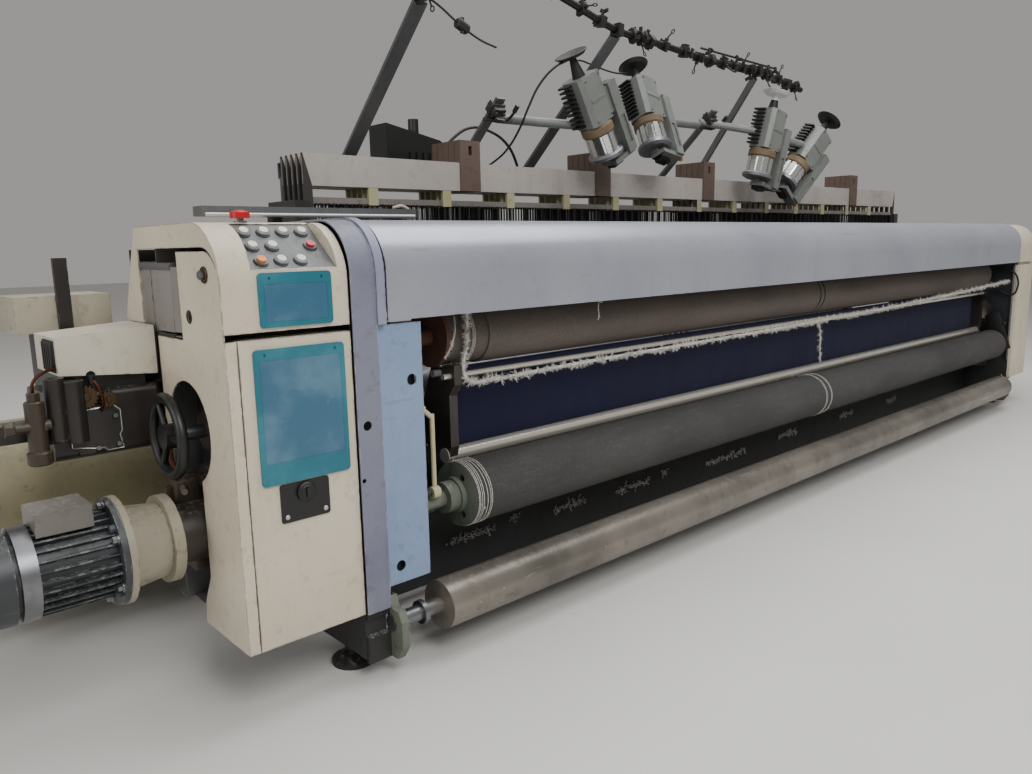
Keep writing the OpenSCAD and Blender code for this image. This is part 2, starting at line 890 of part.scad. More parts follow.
// Head of the column: rolled front, open side window and the recess for the buttons
module column_head() {
    left = column_left_x;
    right = column_right_x;
    color("antiquewhite")
        difference() {
            union() {
                difference() {
                    along_x(left, right)
                        union() {
                            arch_profile(column_front_y, column_rear_y, head_low_z, head_top_z,
                                head_edge_r);
                            polygon([
                                [column_rear_y - 2, head_low_z], [column_rear_y + 130, head_low_z],
                                [column_rear_y + 28, head_top_z - 56],
                                [column_rear_y - 2, head_top_z]
                            ]);
                        }
                    along_x(left + sheet_t, right - sheet_t)
                        union() {
                            arch_profile(column_front_y + sheet_t, column_rear_y + 200,
                                head_low_z - 1, head_top_z - sheet_t, head_edge_r - sheet_t);
                        }
                    along_x(left - 1, left + sheet_t + 1)
                        arch_profile(column_front_y + sheet_t + 1, head_strip_y, head_low_z - 1,
                            head_window_top, head_window_r);
                }
                for (x = [plate_left_x - cheek_t, plate_left_x + plate_width])
                    along_x(x, x + cheek_t)
                        intersection() {
                            arch_profile(column_front_y + 1, column_rear_y, head_low_z,
                                head_top_z - 1, head_edge_r - 1);
                            polygon([
                                [slope_low[0] - 10, slope_low[1] - 24],
                                [slope_high[0] + 14, slope_high[1] - 24],
                                [slope_high[0] + 14, head_top_z], [slope_low[0] - 10, head_top_z]
                            ]);
                        }
                for (x = [plate_left_x, plate_left_x + plate_width - ledge_w])
                    on_slope(x, 2)
                        translate([-1, 0, -plate_t - 4])
                            cube([ledge_w + 2, slope_len - 10, 4 - seat_gap]);
            }
            on_slope(plate_left_x, -30)
                cube([plate_width, slope_len + 60, 60]);
            on_slope(plate_left_x + seat_gap, 2)
                translate([0, 0, -plate_t])
                    cube([plate_width - 2 * seat_gap, slope_len - 10, plate_t + 1]);
            translate([stop_x, stop_y, head_top_z - sheet_t - 1])
                cylinder(h = sheet_t + 2, d = stop_stem_d + 6);
        }
}

// Stands children on the spot of one push button
module at_button(place) {
    on_slope(plate_mid_x + (place[0] - 1.5) * button_pitch, button_low + place[1] * button_rise)
        children();
}

// Button plate with its bezels, the stop button's collar and the selector plate
module control_plates() {
    color("darkgray")
        difference() {
            union() {
                on_slope(plate_left_x + 2 * seat_gap, 3)
                    translate([0, 0, -plate_t])
                        cube([plate_width - 4 * seat_gap, slope_len - 12, plate_t]);
                for (p = button_places)
                    at_button(p)
                        cylinder(h = bezel_h, d = bezel_d);
            }
            for (p = button_places)
                at_button(p) {
                    translate([0, 0, 0.5])
                        cylinder(h = bezel_h + 1, d = button_d + 2 * button_fit);
                    translate([0, 0, -plate_t - 1])
                        cylinder(h = plate_t + 3, d = button_stem_d + 2 * button_fit);
                }
        }
    color("gold")
        translate([stop_x, stop_y, head_top_z - sheet_t - 24])
            difference() {
                union() {
                    cylinder(h = 24 + sheet_t, d = stop_stem_d + 5);
                    translate([0, 0, 24 + sheet_t])
                        cylinder(h = 4, d = stop_stem_d + 14);
                }
                translate([0, 0, -1])
                    cylinder(h = 40, d = stop_stem_d + 2 * button_fit);
            }
    color("black")
        difference() {
            towards_front(column_front_y, selector_t)
                translate([selector_plate[0], selector_plate[1]])
                    round_rect(selector_plate[2], selector_plate[3], 6);
            translate([knob_x, column_front_y + 1, knob_z])
                rotate([90, 0, 0])
                    cylinder(h = selector_t + 2, d = knob_stem_d + 2 * button_fit);
        }
}

// Frame of one card pocket on the column's front
module pocket(p) {
    difference() {
        towards_front(column_front_y, pocket_t + pocket_gap)
            translate([p[0], p[1]])
                round_rect(p[2], p[3], 10);
        towards_front(column_front_y - pocket_t, pocket_t + pocket_gap)
            translate([p[0] + pocket_rim / 2, p[1] + 2 * pocket_rim])
                square([p[2] - pocket_rim, p[3] - 3 * pocket_rim]);
        for (x = [p[0] + pocket_rim, p[0] + p[2] - pocket_rim])
            translate([x, column_front_y - pocket_t, p[1] + p[3] - pocket_rim / 2])
                rotate([90, 0, 0])
                    cylinder(h = pocket_t + pocket_gap, d = 7);
    }
}

module card_pockets() {
    color("teal") {
        pocket(big_pocket);
        difference() {
            pocket(small_pocket);
            towards_front(column_front_y - pocket_t, pocket_t + pocket_gap)
                translate([small_pocket[0] + pocket_rim / 2, small_pocket[1] + pocket_rim / 2])
                    square([small_pocket[2] - pocket_rim, pocket_rim * 2]);
        }
    }
}

// Clear window of one pocket, standing off the pocket's back
module pocket_window(p, low) {
    w = p[2] - pocket_rim - 2 * seat_gap;
    translate([0, column_front_y - pocket_t - pocket_gap, 0])
        towards_front(window_t, window_t)
            translate([p[0] + pocket_rim / 2 + seat_gap, p[1] + low + seat_gap])
                square([w, p[3] - pocket_rim - low - 2 * seat_gap]);
}

module pocket_windows() {
    color("lightblue", 0.5) {
        pocket_window(big_pocket, 2 * pocket_rim);
        pocket_window(small_pocket, pocket_rim / 2);
    }
}

// Inside of the column: spine, shelves and the grey terminal box in the window
module column_core() {
    spine_y = -470;
    wall_x = column_right_x - sheet_t - seat_gap;
    skin_x = column_left_x + sheet_t + seat_gap;
    low = column_low_z + sheet_t + seat_gap;
    high = door_top_z - sheet_t - seat_gap - 3;
    door_rear = column_front_y + door_depth;
    color("gray") {
        along_x(column_left_x + 20, wall_x)
            difference() {
                translate([spine_y, low])
                    square([60, head_top_z - sheet_t - seat_gap - low]);
                translate([spine_y + 3, low + 3])
                    square([61, head_top_z - sheet_t - seat_gap - low - 6]);
            }
        for (z = [low, high]) {
            translate([door_left_x + 8, door_rear - 8, z])
                cube([wall_x - door_left_x - 12, spine_y - door_rear + 9, 3]);
            translate([skin_x, door_rear + 4, z])
                cube([wall_x - skin_x, z == low ? 60 : 330, 3]);
        }
        translate([wall_x - 3, door_rear + 1, low])
            cube([3, 76, high - low + 3]);
        for (z = [430, 860])
            translate([wall_x - 1, door_rear + 10, z])
                cube([frame_left_out - seat_gap - wall_x + 1, 50, 60]);
        translate([column_left_x + 6, spine_y - 185, side_top_z + 16])
            cube([110, 246, 150]);
        translate([column_left_x + 5, spine_y - 188, side_top_z + 166])
            cube([114, 252, 8]);
    }
}

// Cast drive housing behind the column, with the necks of the motor and the hand wheel
module drive_housing() {
    neck_left = adaptor_right_x;
    y0 = drive_y[0];
    w = drive_y[1] - y0;
    z0 = drive_z[0];
    h = drive_z[1] - z0;
    color("dimgray")
        difference() {
            union() {
                along_x(drive_left_x, frame_left_out - seat_gap)
                    translate([y0, z0])
                        round_rect(w, h, 60);
                rod_x(neck_left, drive_left_x + 1, motor_y, motor_z, drive_neck_d);
                rod_x(drive_left_x - 40, drive_left_x + 1, wheel_y, wheel_z, 96);
                for (a = [45 : 90 : 315])
                    rod_x(drive_left_x - 12, drive_left_x + 1, wheel_y + 70 * cos(a),
                        wheel_z + 70 * sin(a), 18);
            }
            rod_x(drive_left_x - 41, wheel_shaft_end + 4, wheel_y, wheel_z,
                wheel_shaft_d + 2 * running_gap);
        }
}

// Finned motor with its flange, terminal box, shroud ring and fan cover
module motor() {
    box_x = motor_fins_x + 8;
    color("dimgray") {
        rod_x(adaptor_left_x - motor_ring_t - motor_disc_t, adaptor_left_x - motor_ring_t, motor_y,
            motor_z, motor_flange_d);
        rod_x(motor_cap_x - 22, adaptor_left_x - motor_ring_t - 1, motor_y, motor_z, motor_body_d);
        translate([0, motor_y, motor_z])
            for (i = [0 : fin_count - 1])
                rotate([i * 360 / fin_count, 0, 0])
                    translate([motor_fins_x, -2, motor_body_d / 2 - 3])
                        cube([-2994 - motor_disc_t - motor_fins_x, 4, fin_h + 3]);
        for (a = [45 : 90 : 315])
            rod_x(adaptor_left_x - motor_ring_t - motor_disc_t - 12,
                adaptor_left_x - motor_ring_t - motor_disc_t + 1, motor_y + 108 * cos(a),
                motor_z + 108 * sin(a), 22);
    }
    color("silver") {
        tube_x(motor_shroud_x, motor_fins_x - seat_gap, motor_y, motor_z, motor_cap_d,
            motor_body_d - 2);
        for (a = [0 : 90 : 270])
            translate([motor_cap_x - 18, motor_y, motor_z])
                rotate([a, 0, 0])
                    translate([0, -8, motor_body_d / 2 - 2])
                        cube([12, 16, motor_cap_d / 2 - motor_body_d / 2]);
        difference() {
            translate([motor_end_x, motor_y, motor_z])
                rotate([0, 90, 0])
                    rotate_extrude($fn = 72)
                        union() {
                            translate([0, motor_cap_r])
                                square([motor_cap_d / 2, motor_cap_x - motor_end_x - motor_cap_r]);
                            square([motor_cap_d / 2 - motor_cap_r, motor_cap_r + 1]);
                            translate([motor_cap_d / 2 - motor_cap_r, motor_cap_r])
                                intersection() {
                                    circle(motor_cap_r);
                                    translate([0, -motor_cap_r])
                                        square([motor_cap_r, motor_cap_r + 1]);
                                }
                        }
            rod_x(motor_end_x + sheet_t, motor_cap_x + 1, motor_y, motor_z,
                motor_cap_d - 2 * motor_cap_r);
            rod_x(motor_end_x + motor_cap_r, motor_cap_x + 1, motor_y, motor_z,
                motor_cap_d - 2 * sheet_t);
            for (r = [30, 55, 78])
                for (a = [0 : 60 : 300])
                    translate([motor_end_x - 1, motor_y, motor_z])
                        rotate([a + r, 0, 0])
                            translate([0, -4, r - 8])
                                cube([sheet_t + 2, 8, 18]);
        }
    }
    color("gray")
        translate([box_x, motor_y - 58, motor_z + motor_body_d / 2 - 2])
            cube([118, 116, fin_h + 38]);
}

module motor_adaptor() {
    color("antiquewhite") {
        rod_x(adaptor_left_x - motor_ring_t + seat_gap, adaptor_left_x, motor_y, motor_z,
            motor_flange_d + 4);
        translate([adaptor_left_x - 1, motor_y, motor_z])
            rotate([0, 90, 0])
                cylinder(h = adaptor_right_x - adaptor_ring_t - adaptor_left_x + 2,
                    d1 = motor_flange_d - 52, d2 = motor_flange_d - 76);
        rod_x(adaptor_right_x - adaptor_ring_t, adaptor_right_x - seat_gap, motor_y, motor_z,
            motor_flange_d - 40);
    }
}

// Cast picking unit under its cover, carried by the left frame
module picking_unit() {
    color("dimgray") {
        along_x(pick_left_x, pick_cover_x[1] - 4)
            translate([pick_y[0], pick_z[0]])
                round_rect(pick_y[1] - pick_y[0], pick_z[1] - pick_z[0] - 24, 18);
        along_x(pick_left_x + 40, pick_cover_x[1] - 24)
            translate([pick_y[0] + 20, pick_z[1] - 30])
                square([pick_cover_y[1] - sheet_t - seat_gap - pick_y[0] - 20, 96]);
        along_x(pick_cover_x[1] - 5, frame_left_out - 10)
            translate([-440, 660])
                round_rect(180, 150, 20);
        along_x(frame_left_out - 11.5, frame_left_out - seat_gap)
            translate([drive_y[1] + seat_gap, 640])
                square([-130 - drive_y[1], 190]);
        for (p = [[-3050, 700, 46], [-3012, 690, 54]])
            translate([p[0], pick_y[0] - 18, p[1]])
                cylinder(h = 150, d = p[2]);
        towards_front(pick_y[0] + 1, 10)
            translate([-3024, 652])
                difference() {
                    square([120, 118]);
                    circle(18);
                    translate([120, 118])
                        circle(16);
                    translate([66, 0])
                        circle(14);
                }
        translate([-3215, -455, 700])
            cube([156, 60, 44]);
    }
    color("gray") {
        translate([-2663, -495, 1231])
            cube([685, 56, 26]);
        translate([frame_left_out + 16, -480, frame_top_z + seat_gap])
            cube([30, 30, 1232 - frame_top_z]);
    }
    color("antiquewhite")
        translate([-3060, -210, 935])
            cube([236, 190, 96]);
    color("dimgray") {
        translate([-2960, -225, 800])
            cube([34, 16, 330]);
        translate([-3000, -200, 640])
            cube([140, 150, 296]);
        translate([-2861, -190, 700])
            cube([frame_left_out - seat_gap + 2861, 119, 90]);
    }
}

// Off-white cover of the picking unit: a tapered hood, open below
module picking_cover() {
    x0 = pick_cover_x[0];
    x1 = pick_cover_x[1];
    color("linen")
        difference() {
            towards_front(pick_cover_y[1], pick_cover_y[1] - pick_cover_y[0])
                polygon([[x0, 852], [x1, 833], [x1, 957], [x0, 943]]);
            towards_front(pick_cover_y[1] - sheet_t, pick_cover_y[1] - pick_cover_y[0] - 2 * sheet_t)
                polygon([
                    [x0 + sheet_t, 840], [x1 - sheet_t, 820], [x1 - sheet_t, 957 - sheet_t],
                    [x0 + sheet_t, 943 - sheet_t]
                ]);
            translate([x0 + 70, pick_cover_y[0] - 1, 846])
                rotate([-90, 0, 0])
                    cylinder(h = sheet_t + 2, d = 22);
        }
}

// Upright profile with a round top, in Y and Z
module dome_profile(r) {
    translate([shed_y[0] + shed_r, shed_low_z + 220]) {
        translate([-r, -r + 50])
            square([2 * r, r - 49]);
        intersection() {
            circle(r, $fn = 96);
            translate([-r, 0])
                square([2 * r, r]);
        }
    }
}

// Domed shedding housing at the lower left, bolted to the left frame
module shedding_housing() {
    color("wheat") {
        difference() {
            along_x(shed_left_x, frame_left_out - seat_gap)
                dome_profile(shed_r);
            along_x(shed_left_x + 12, frame_left_out)
                dome_profile(shed_r - 12);
        }
        along_x(shed_left_x - 24, shed_left_x + 1)
            translate([shed_y[0] + shed_r, shed_low_z + 210])
                circle(shed_r - 50, $fn = 96);
        for (a = [30 : 30 : 150])
            rod_x(shed_left_x - 36, shed_left_x, shed_y[0] + shed_r + 195 * cos(a),
                shed_low_z + 210 + 195 * sin(a), 20);
    }
}

// Cream column at the receiving end: rolled head, door and front return
module receiving_column() {
    color("antiquewhite") {
        difference() {
            along_x(column2_left_x, column2_right_x)
                difference() {
                    arch_profile(column_front_y, column_rear_y, head_low_z, head_top_z, head_edge_r);
                    arch_profile(column_front_y + sheet_t, column_rear_y + 1, head_low_z - 1,
                        head_top_z - sheet_t, head_edge_r - sheet_t);
                }
        }
        along_x(column2_right_x - sheet_t, column2_right_x)
            arch_profile(column_front_y + 1, column_rear_y, head_low_z, head_top_z - 1,
                head_edge_r - 1);
        translate([column2_left_x + column_return, column_front_y, column2_low_z])
            difference() {
                cube([column2_right_x - column2_left_x - column_return, 16,
                    door_top_z - column2_low_z]);
                translate([sheet_t, sheet_t, sheet_t])
                    cube([column2_right_x - column2_left_x - column_return - 2 * sheet_t, 16,
                        door_top_z - column2_low_z - 2 * sheet_t]);
            }
        translate([column2_left_x, column_front_y, column2_low_z])
            cube([column_return - 3, 16, door_top_z - column2_low_z]);
        translate([column2_right_x - sheet_t, column_front_y + 20 - seat_gap, column2_low_z])
            cube([sheet_t, column_rear_y - column_front_y - 20, door_top_z - column2_low_z]);
    }
    color("gray")
        translate([frame_right_out + seat_gap, column_front_y + 16 + seat_gap, column2_low_z + 20])
            difference() {
                cube([column2_right_x - sheet_t - frame_right_out, column_rear_y - column_front_y - 24,
                    head_low_z - column2_low_z + 100]);
                translate([3, 3, -1])
                    cube([column2_right_x - sheet_t - frame_right_out - 6,
                        column_rear_y - column_front_y - 30, 2000]);
            }
}

// Receiving unit beyond the right frame, with its hood
module receiving_unit() {
    color("linen")
        difference() {
            translate([column2_right_x + 4, receive_y[0], 833])
                cube([receive_end_x - column2_right_x - 4, receive_y[1] - receive_y[0] + 30, 122]);
            translate([column2_right_x + 4 + sheet_t, receive_y[0] + sheet_t, 832])
                cube([receive_end_x - column2_right_x - 4 - 2 * sheet_t,
                    receive_y[1] - receive_y[0] + 30 - 2 * sheet_t, 123 - sheet_t]);
        }
    color("dimgray") {
        along_x(column2_right_x + 20, receive_end_x - 40)
            translate([receive_y[0] + 10, 650])
                round_rect(210, 150, 18);
        along_x(column2_right_x + 40, receive_end_x - 70)
            translate([receive_y[0] + 30, 790])
                square([160, 955 - sheet_t - seat_gap - 790]);
        along_x(frame_right_out + 10, column2_right_x + 21)
            translate([-376, 660])
                round_rect(116, 120, 16);
        along_x(frame_right_out + seat_gap, frame_right_out + 16)
            translate([-370, 640])
                square([230, 190]);
        along_x(column2_right_x + 60, column2_right_x + 300)
            translate([-420, 250])
                round_rect(200, 401, 14);
        along_x(frame_right_out + seat_gap, column2_right_x + 61)
            translate([-370, 260])
                round_rect(110, 110, 14);
    }
}

// Flanged bearing on a wall; side is 1 where it stands out towards +X
module flanged_bearing(x, side, y, z, d) {
    translate([x, y, z])
        rotate([0, side * 90, 0])
            difference() {
                union() {
                    cylinder(h = bearing_flange_t, d = bearing_flange_d);
                    cylinder(h = bearing_boss_h, d = bearing_boss_d);
                    for (a = [45 : 90 : 315])
                        rotate([0, 0, a])
                            translate([bearing_flange_d / 2 - 9, 0, bearing_flange_t - 1])
                                cylinder(h = 7, d = 12, $fn = 6);
                }
                translate([0, 0, -1])
                    cylinder(h = bearing_boss_h + 2, d = d + 2 * running_gap);
            }
}

module roller_bearings() {
    color("darkslategray") {
        for (p = [[take_up_y, take_up_z], [sand_y, sand_z]]) {
            flanged_bearing(case_x, 1, p[0], p[1], journal_d);
            flanged_bearing(frame_right_x, -1, p[0], p[1], journal_d);
        }
        flanged_bearing(frame_left_x, 1, warp_y, warp_z, journal_d);
        flanged_bearing(frame_right_x, -1, warp_y, warp_z, journal_d);
        flanged_bearing(frame_left_x, 1, sley_pivot_y, sley_pivot_z, sley_shaft_d);
        flanged_bearing(frame_right_x, -1, sley_pivot_y, sley_pivot_z, sley_shaft_d);
        for (x = [frame_left_x - frame_wall + 10, frame_right_x + 10])
            translate([x, back_rest_y - 60, frame_rear_top_z])
                difference() {
                    cube([frame_wall - 20, 120, 134]);
                    rod_x(-1, frame_wall, 60, back_rest_z - frame_rear_top_z,
                        journal_d + 2 * running_gap);
                }
        rod_x(case_x, lever_x + lever_boss_t / 2 + 6, lever_y, lever_z, lever_pin_d);
        rod_x(lever_x + lever_boss_t / 2 + seat_gap, lever_x + lever_boss_t / 2 + 6, lever_y,
            lever_z, lever_pin_d + 10);
    }
}

module tension_bars() {
    left = bracket_left_x - 26;
    right = bracket_right_x + bracket_t + 26;
    color("silver") {
        rod_x(left, right, front_bar_y, tension_z, front_bar_d);
        rod_x(left, right, rear_bar_y, rear_bar_z, rear_bar_d);
        rod_x(bracket_left_x - 4, bracket_right_x + bracket_t + 4, bright_bar_y, bright_bar_z,
            bright_bar_d);
    }
}

// Bracket plate that carries the three bars on the tie beam
module bar_bracket(x) {
    difference() {
        along_x(x, x + bracket_t)
            polygon([
                [-745, bracket_low_z - 6], [tie_y - seat_gap, bracket_low_z + 40],
                [tie_y - seat_gap, tie_z + tie_h],
                [-676, bracket_top_z], [-784, bracket_top_z], [-784, tension_z - 24],
                [-757, tension_z - 60], [-757, bright_bar_z + 30]
            ]);
        rod_x(x - 1, x + bracket_t + 1, sand_y, sand_z, sand_d + 16);
        rod_x(x - 1, x + bracket_t + 1, take_up_y, take_up_z, take_up_d + 6);
        rod_x(x - 1, x + bracket_t + 1, front_bar_y, tension_z, front_bar_d + 2 * bar_fit);
        rod_x(x - 1, x + bracket_t + 1, rear_bar_y, rear_bar_z, rear_bar_d + 2 * bar_fit);
        rod_x(x - 1, x + bracket_t + 1, bright_bar_y, bright_bar_z, bright_bar_d + 2 * bar_fit);
    }
}

module bar_brackets() {
    color("darkslategray") {
        bar_bracket(bracket_left_x);
        bar_bracket(bracket_right_x);
        along_x(bracket_right_x + bracket_t + 4, frame_right_x - seat_gap)
            polygon([
                [-700, 700], [tie_y - seat_gap, 700], [tie_y - seat_gap, 580],
                [tie_y - 28, 580]
            ]);
    }
}

// Hook that holds the cloth tube's journal, with its flange on the frame's front
module beam_hook(x, flange_from, flange_to, top) {
    difference() {
        along_x(x, x + hook_t)
            polygon([
                [tube_y - 46, tube_z + 12], [tube_y - 46, hook_low_z + 40],
                [tube_y - 20, hook_low_z], [frame_front_y - seat_gap, hook_low_z],
                [frame_front_y - seat_gap, hook_top_z + 28], [tube_y + 6, hook_top_z + 28],
                [tube_y - 4, tube_z + 40], [tube_y - 30, tube_z + 40]
            ]);
        rod_x(x - 1, x + hook_t + 1, tube_y, tube_z, tube_journal_d + 2 * running_gap);
    }
    along_x(flange_from, flange_to)
        difference() {
            translate([frame_front_y - 12, hook_low_z])
                square([12 - seat_gap, top - hook_low_z]);
            translate([tube_y, tube_z])
                circle(d = tube_journal_d + 12);
        }
}

module beam_brackets() {
    color("darkseagreen") {
        beam_hook(hook_left_x, frame_left_out + 2, hook_left_x + 1, hook_top_z);
        beam_hook(hook_right_x, hook_right_x + hook_t - 1, frame_right_out - 2,
            column2_low_z - seat_gap);
    }
}

// Navy cloth over the rear tension bar, hanging behind the bright bar
module cloth_web() {
    inner = rear_bar_d / 2 + seat_gap;
    outer = inner + web_t;
    color("midnightblue")
        along_x(web_left_x, web_right_x)
            union() {
                translate([rear_bar_y, rear_bar_z])
                    difference() {
                        circle(outer);
                        circle(inner);
                        translate([-outer - 1, -2 * outer])
                            square([2 * outer + 2, 2 * outer]);
                    }
                translate([rear_bar_y + inner, web_low_z])
                    square([web_t, rear_bar_z - web_low_z + 0.5]);
                translate([rear_bar_y - outer, rear_bar_z - 26])
                    square([web_t, 26.5]);
            }
}

module waste_rope() {
    color("white")
        swept_tube(smooth_route(rope_route, 3), rope_r, 8);
}

// Upright guides at both ends of the harness, one groove for each heald frame
module heald_guide(x, side) {
    depth = heald_count * heald_pitch + 10;
    y0 = heald_front_y - 12;
    difference() {
        translate([x, y0, guide_low_z])
            cube([guide_t, depth, guide_top_z - guide_low_z]);
        for (i = [0 : heald_count - 1])
            translate([side > 0 ? x + guide_t - 16 : x - 1,
                heald_front_y + i * heald_pitch - guide_clear, guide_low_z - 1])
                cube([17, slat_t + 2 * guide_clear, guide_top_z - guide_low_z + 2]);
    }
}

module heald_guides() {
    color("dimgray") {
        heald_guide(heald_left_x - guide_t + 15, 1);
        heald_guide(heald_right_x - 15, -1);
        translate([beam_left_x, heald_front_y + 20, 920])
            cube([heald_left_x - guide_t + 16 - beam_left_x, 120, 90]);
        translate([heald_right_x + guide_t - 16, heald_front_y + 20, 920])
            cube([beam_right_x - heald_right_x - guide_t + 16, 120, 90]);
    }
}

// Warp stop motion: rails in end plates on the side frames
module stop_motion() {
    color("gray") {
        for (x = [frame_left_x - 50, frame_right_x + 8])
            translate([x, stop_y0 - 14, frame_top_z - 70])
                cube([42, 168, 90]);
        for (i = [0 : 5])
            translate([frame_left_x - 10, stop_y0 + i * 26, stop_rail_z])
                cube([frame_right_x - frame_left_x + 20, 8, 30]);
        for (x = [-1400, -560, 280, 1120, 1960])
            translate([x, stop_y0 - 10, stop_rail_z - 24])
                cube([24, 158, 25]);
    }
}

// Flat bar in the sloping plane of the feeder posts
module sloping_bar(x, low, high, w, t) {
    run = [high[0] - low[0], high[1] - low[1]];
    translate([x - w / 2, low[0], low[1]])
        rotate([atan2(run[1], run[0]), 0, 0])
            translate([0, 0, -t / 2])
                cube([w, norm(run), t]);
}

// Split clamp that holds the guide pipe at one of its route points
module pipe_clamp(i) {
    dir = heading(pipe_route, i);
    aim(pipe_route[i] - 15 * dir, pipe_route[i] + 15 * dir)
        difference() {
            translate([-24, -24, 0])
                cube([48, 48, 30]);
            translate([0, 0, -1])
                cylinder(h = 32, d = pipe_d + 6 * seat_gap);
        }
}

// Rail over the harness with its uprights, sloping posts, arms and pipe clamps
module feeder_stand() {
    top = rail_z + rail_height;
    color("gray") {
        box_beam(rail_left_x, rail_right_x, rail_y, rail_z, rail_depth, rail_height, 5);
        for (x = [rail_left_x, rail_right_x - upright_w])
            translate([x, rail_y + 8, rail_foot_z + 41])
                cube([upright_w, upright_w, rail_z - rail_foot_z - 40]);
        translate([frame_left_x - 50, rail_y + 8, rail_foot_z])
            cube([rail_left_x + upright_w - frame_left_x + 50, upright_w, 42]);
        translate([rail_right_x - upright_w, rail_y + 8, rail_foot_z])
            cube([frame_right_x + 50 - rail_right_x + upright_w, upright_w, 42]);
        for (x = [-700, 800])
            translate([x, rail_y + rail_depth - 1, rail_z + 4])
                cube([90, 50, 50]);
        for (p = post_tops)
            sloping_bar(p[0], post_base, [p[1], p[2]], post_w, post_t);
        for (p = post_tops)
            translate([p[0] - 30, rail_y - 6, top - 1])
                cube([60, 40, 22]);
        aim(post3_base, post3_top)
            translate([-20, -post_t / 2, 0])
                cube([40, post_t, norm(post3_top - post3_base)]);
        translate([post3_base[0] - 30, rail_y - 6, top - 1])
            cube([60, 40, 22]);
        difference() {
            union() {
                for (p = arm_places) {
                    sloping_bar(p[0], post_base, [p[1], p[2]], 46, post_t);
                    translate([p[0] - 30, rail_y - 6, top - 1])
                        cube([60, 40, 22]);
                }
                rod_x(arm_places[0][0] + 20, feeder_tubes[0][0][0] + 24, 8, 1661, 32);
            }
            for (t = feeder_tubes)
                rod(t[0], t[1], support_d + 2 * seat_gap);
        }
    }
    color("black")
        for (i = [0, 5, 9])
            pipe_clamp(i);
}

module guide_pipe() {
    color("dimgray")
        swept_tube(smooth_route(pipe_route, 3), pipe_d / 2, 12);
}

// Weft feeder: its inlet disc at the origin, its drum towards -Z
module weft_feeder(disc_colour) {
    base_z = -feeder_neck - feeder_len;
    drum_z = base_z - feeder_ring_h - drum_len;
    low_z = drum_z - feeder_flange_h;
    w = feeder_w / 2;
    d = feeder_depth / 2;
    color(disc_colour) {
        translate([0, 0, -8])
            rotate_extrude()
                polygon([
                    [0, -4], [disc_d / 2 - 16, 0], [disc_d / 2, 14], [disc_d / 2 - 4, 16],
                    [14, 8], [0, 8]
                ]);
        translate([0, 0, -feeder_neck - 1])
            cylinder(h = feeder_neck - 8, d1 = 56, d2 = 26);
    }
    color("silver") {
        translate([0, 0, base_z])
            linear_extrude(height = feeder_len)
                polygon([
                    [-w, -d + 18], [-w + 18, -d], [w - 8, -d], [w, -d + 8], [w, d - 8], [w - 8, d],
                    [-w + 18, d], [-w, d - 18]
                ]);
        translate([w + 16, -d - 4, low_z - 24])
            difference() {
                cube([52, 56, -feeder_neck - 70 - low_z + 24]);
                translate([12, -1, 40])
                    cube([28, 7, 120]);
            }
        translate([w - 1, -d + 8, base_z + 12])
            cube([18, 40, feeder_len - 90]);
        translate([-10, -50, low_z - 34])
            cube([w + 76, 74, 20]);
        translate([0, 0, drum_z - feeder_flange_h])
            rotate_extrude()
                polygon([
                    [0, 0], [drum_d / 2 - 4, 0], [drum_d / 2 + 12, 8], [drum_d / 2 + 14, 22],
                    [drum_d / 2 + 4, feeder_flange_h], [0, feeder_flange_h]
                ]);
        translate([0, 0, drum_z - 1])
            cylinder(h = drum_len + 2, d = drum_d - 18);
        for (a = [0 : 30 : 330])
            rotate([0, 0, a])
                translate([drum_d / 2 - 12, -11, drum_z - 1])
                    cube([12, 22, drum_len + 2]);
    }
    color("black") {
        for (i = [0 : fin_rows - 1])
            translate([-w - 22, -6, base_z + 14 + i * 19])
                cube([24, d, 8]);
        translate([-14, -18, low_z - 15])
            cube([28, 36, 16]);
        translate([w - 60, -20, low_z - 52])
            cube([64, 40, 19]);
    }
    color("tan")
        translate([0, 0, base_z - feeder_ring_h])
            rotate_extrude()
                polygon([
                    [30, 0], [feeder_ring_d / 2 - 8, 0], [feeder_ring_d / 2, 8],
                    [feeder_ring_d / 2, feeder_ring_h - 10],
                    [feeder_ring_d / 2 - 10, feeder_ring_h + 1], [30, feeder_ring_h + 1]
                ]);
    color("orange")
        translate([w + 65, -30, low_z - 24])
            rotate([0, 90, 0])
                cylinder(h = 18, d = 24);
}

// The feeders with the tubes they are clamped on
module weft_feeders() {
    for (p = feeder_places)
        translate([p[0], p[1], p[2]])
            rotate([p[3], p[4], 0])
                weft_feeder(p[2] == feeder_places[2][2] ? "white" : "black");
    color("gray")
        for (t = feeder_tubes)
            rod(t[0], t[1], support_d);
}

// Supply box of the feeders, seated on the rail
module power_box() {
    low = rail_z + rail_height + seat_gap;
    color("black") {
        towards_front(rail_y + 130, 126)
            polygon([
                [-1599, low], [-1288, low], [-1288, 1557], [-1328, 1583], [-1599, 1635]
            ]);
        for (x = [-1489 : 34 : -1348])
            translate([x, rail_y - 4, low + 20])
                cube([12, 12, 46]);
        translate([-1439, rail_y + 40, 1588])
            cylinder(h = 76, d = 44);
    }
}

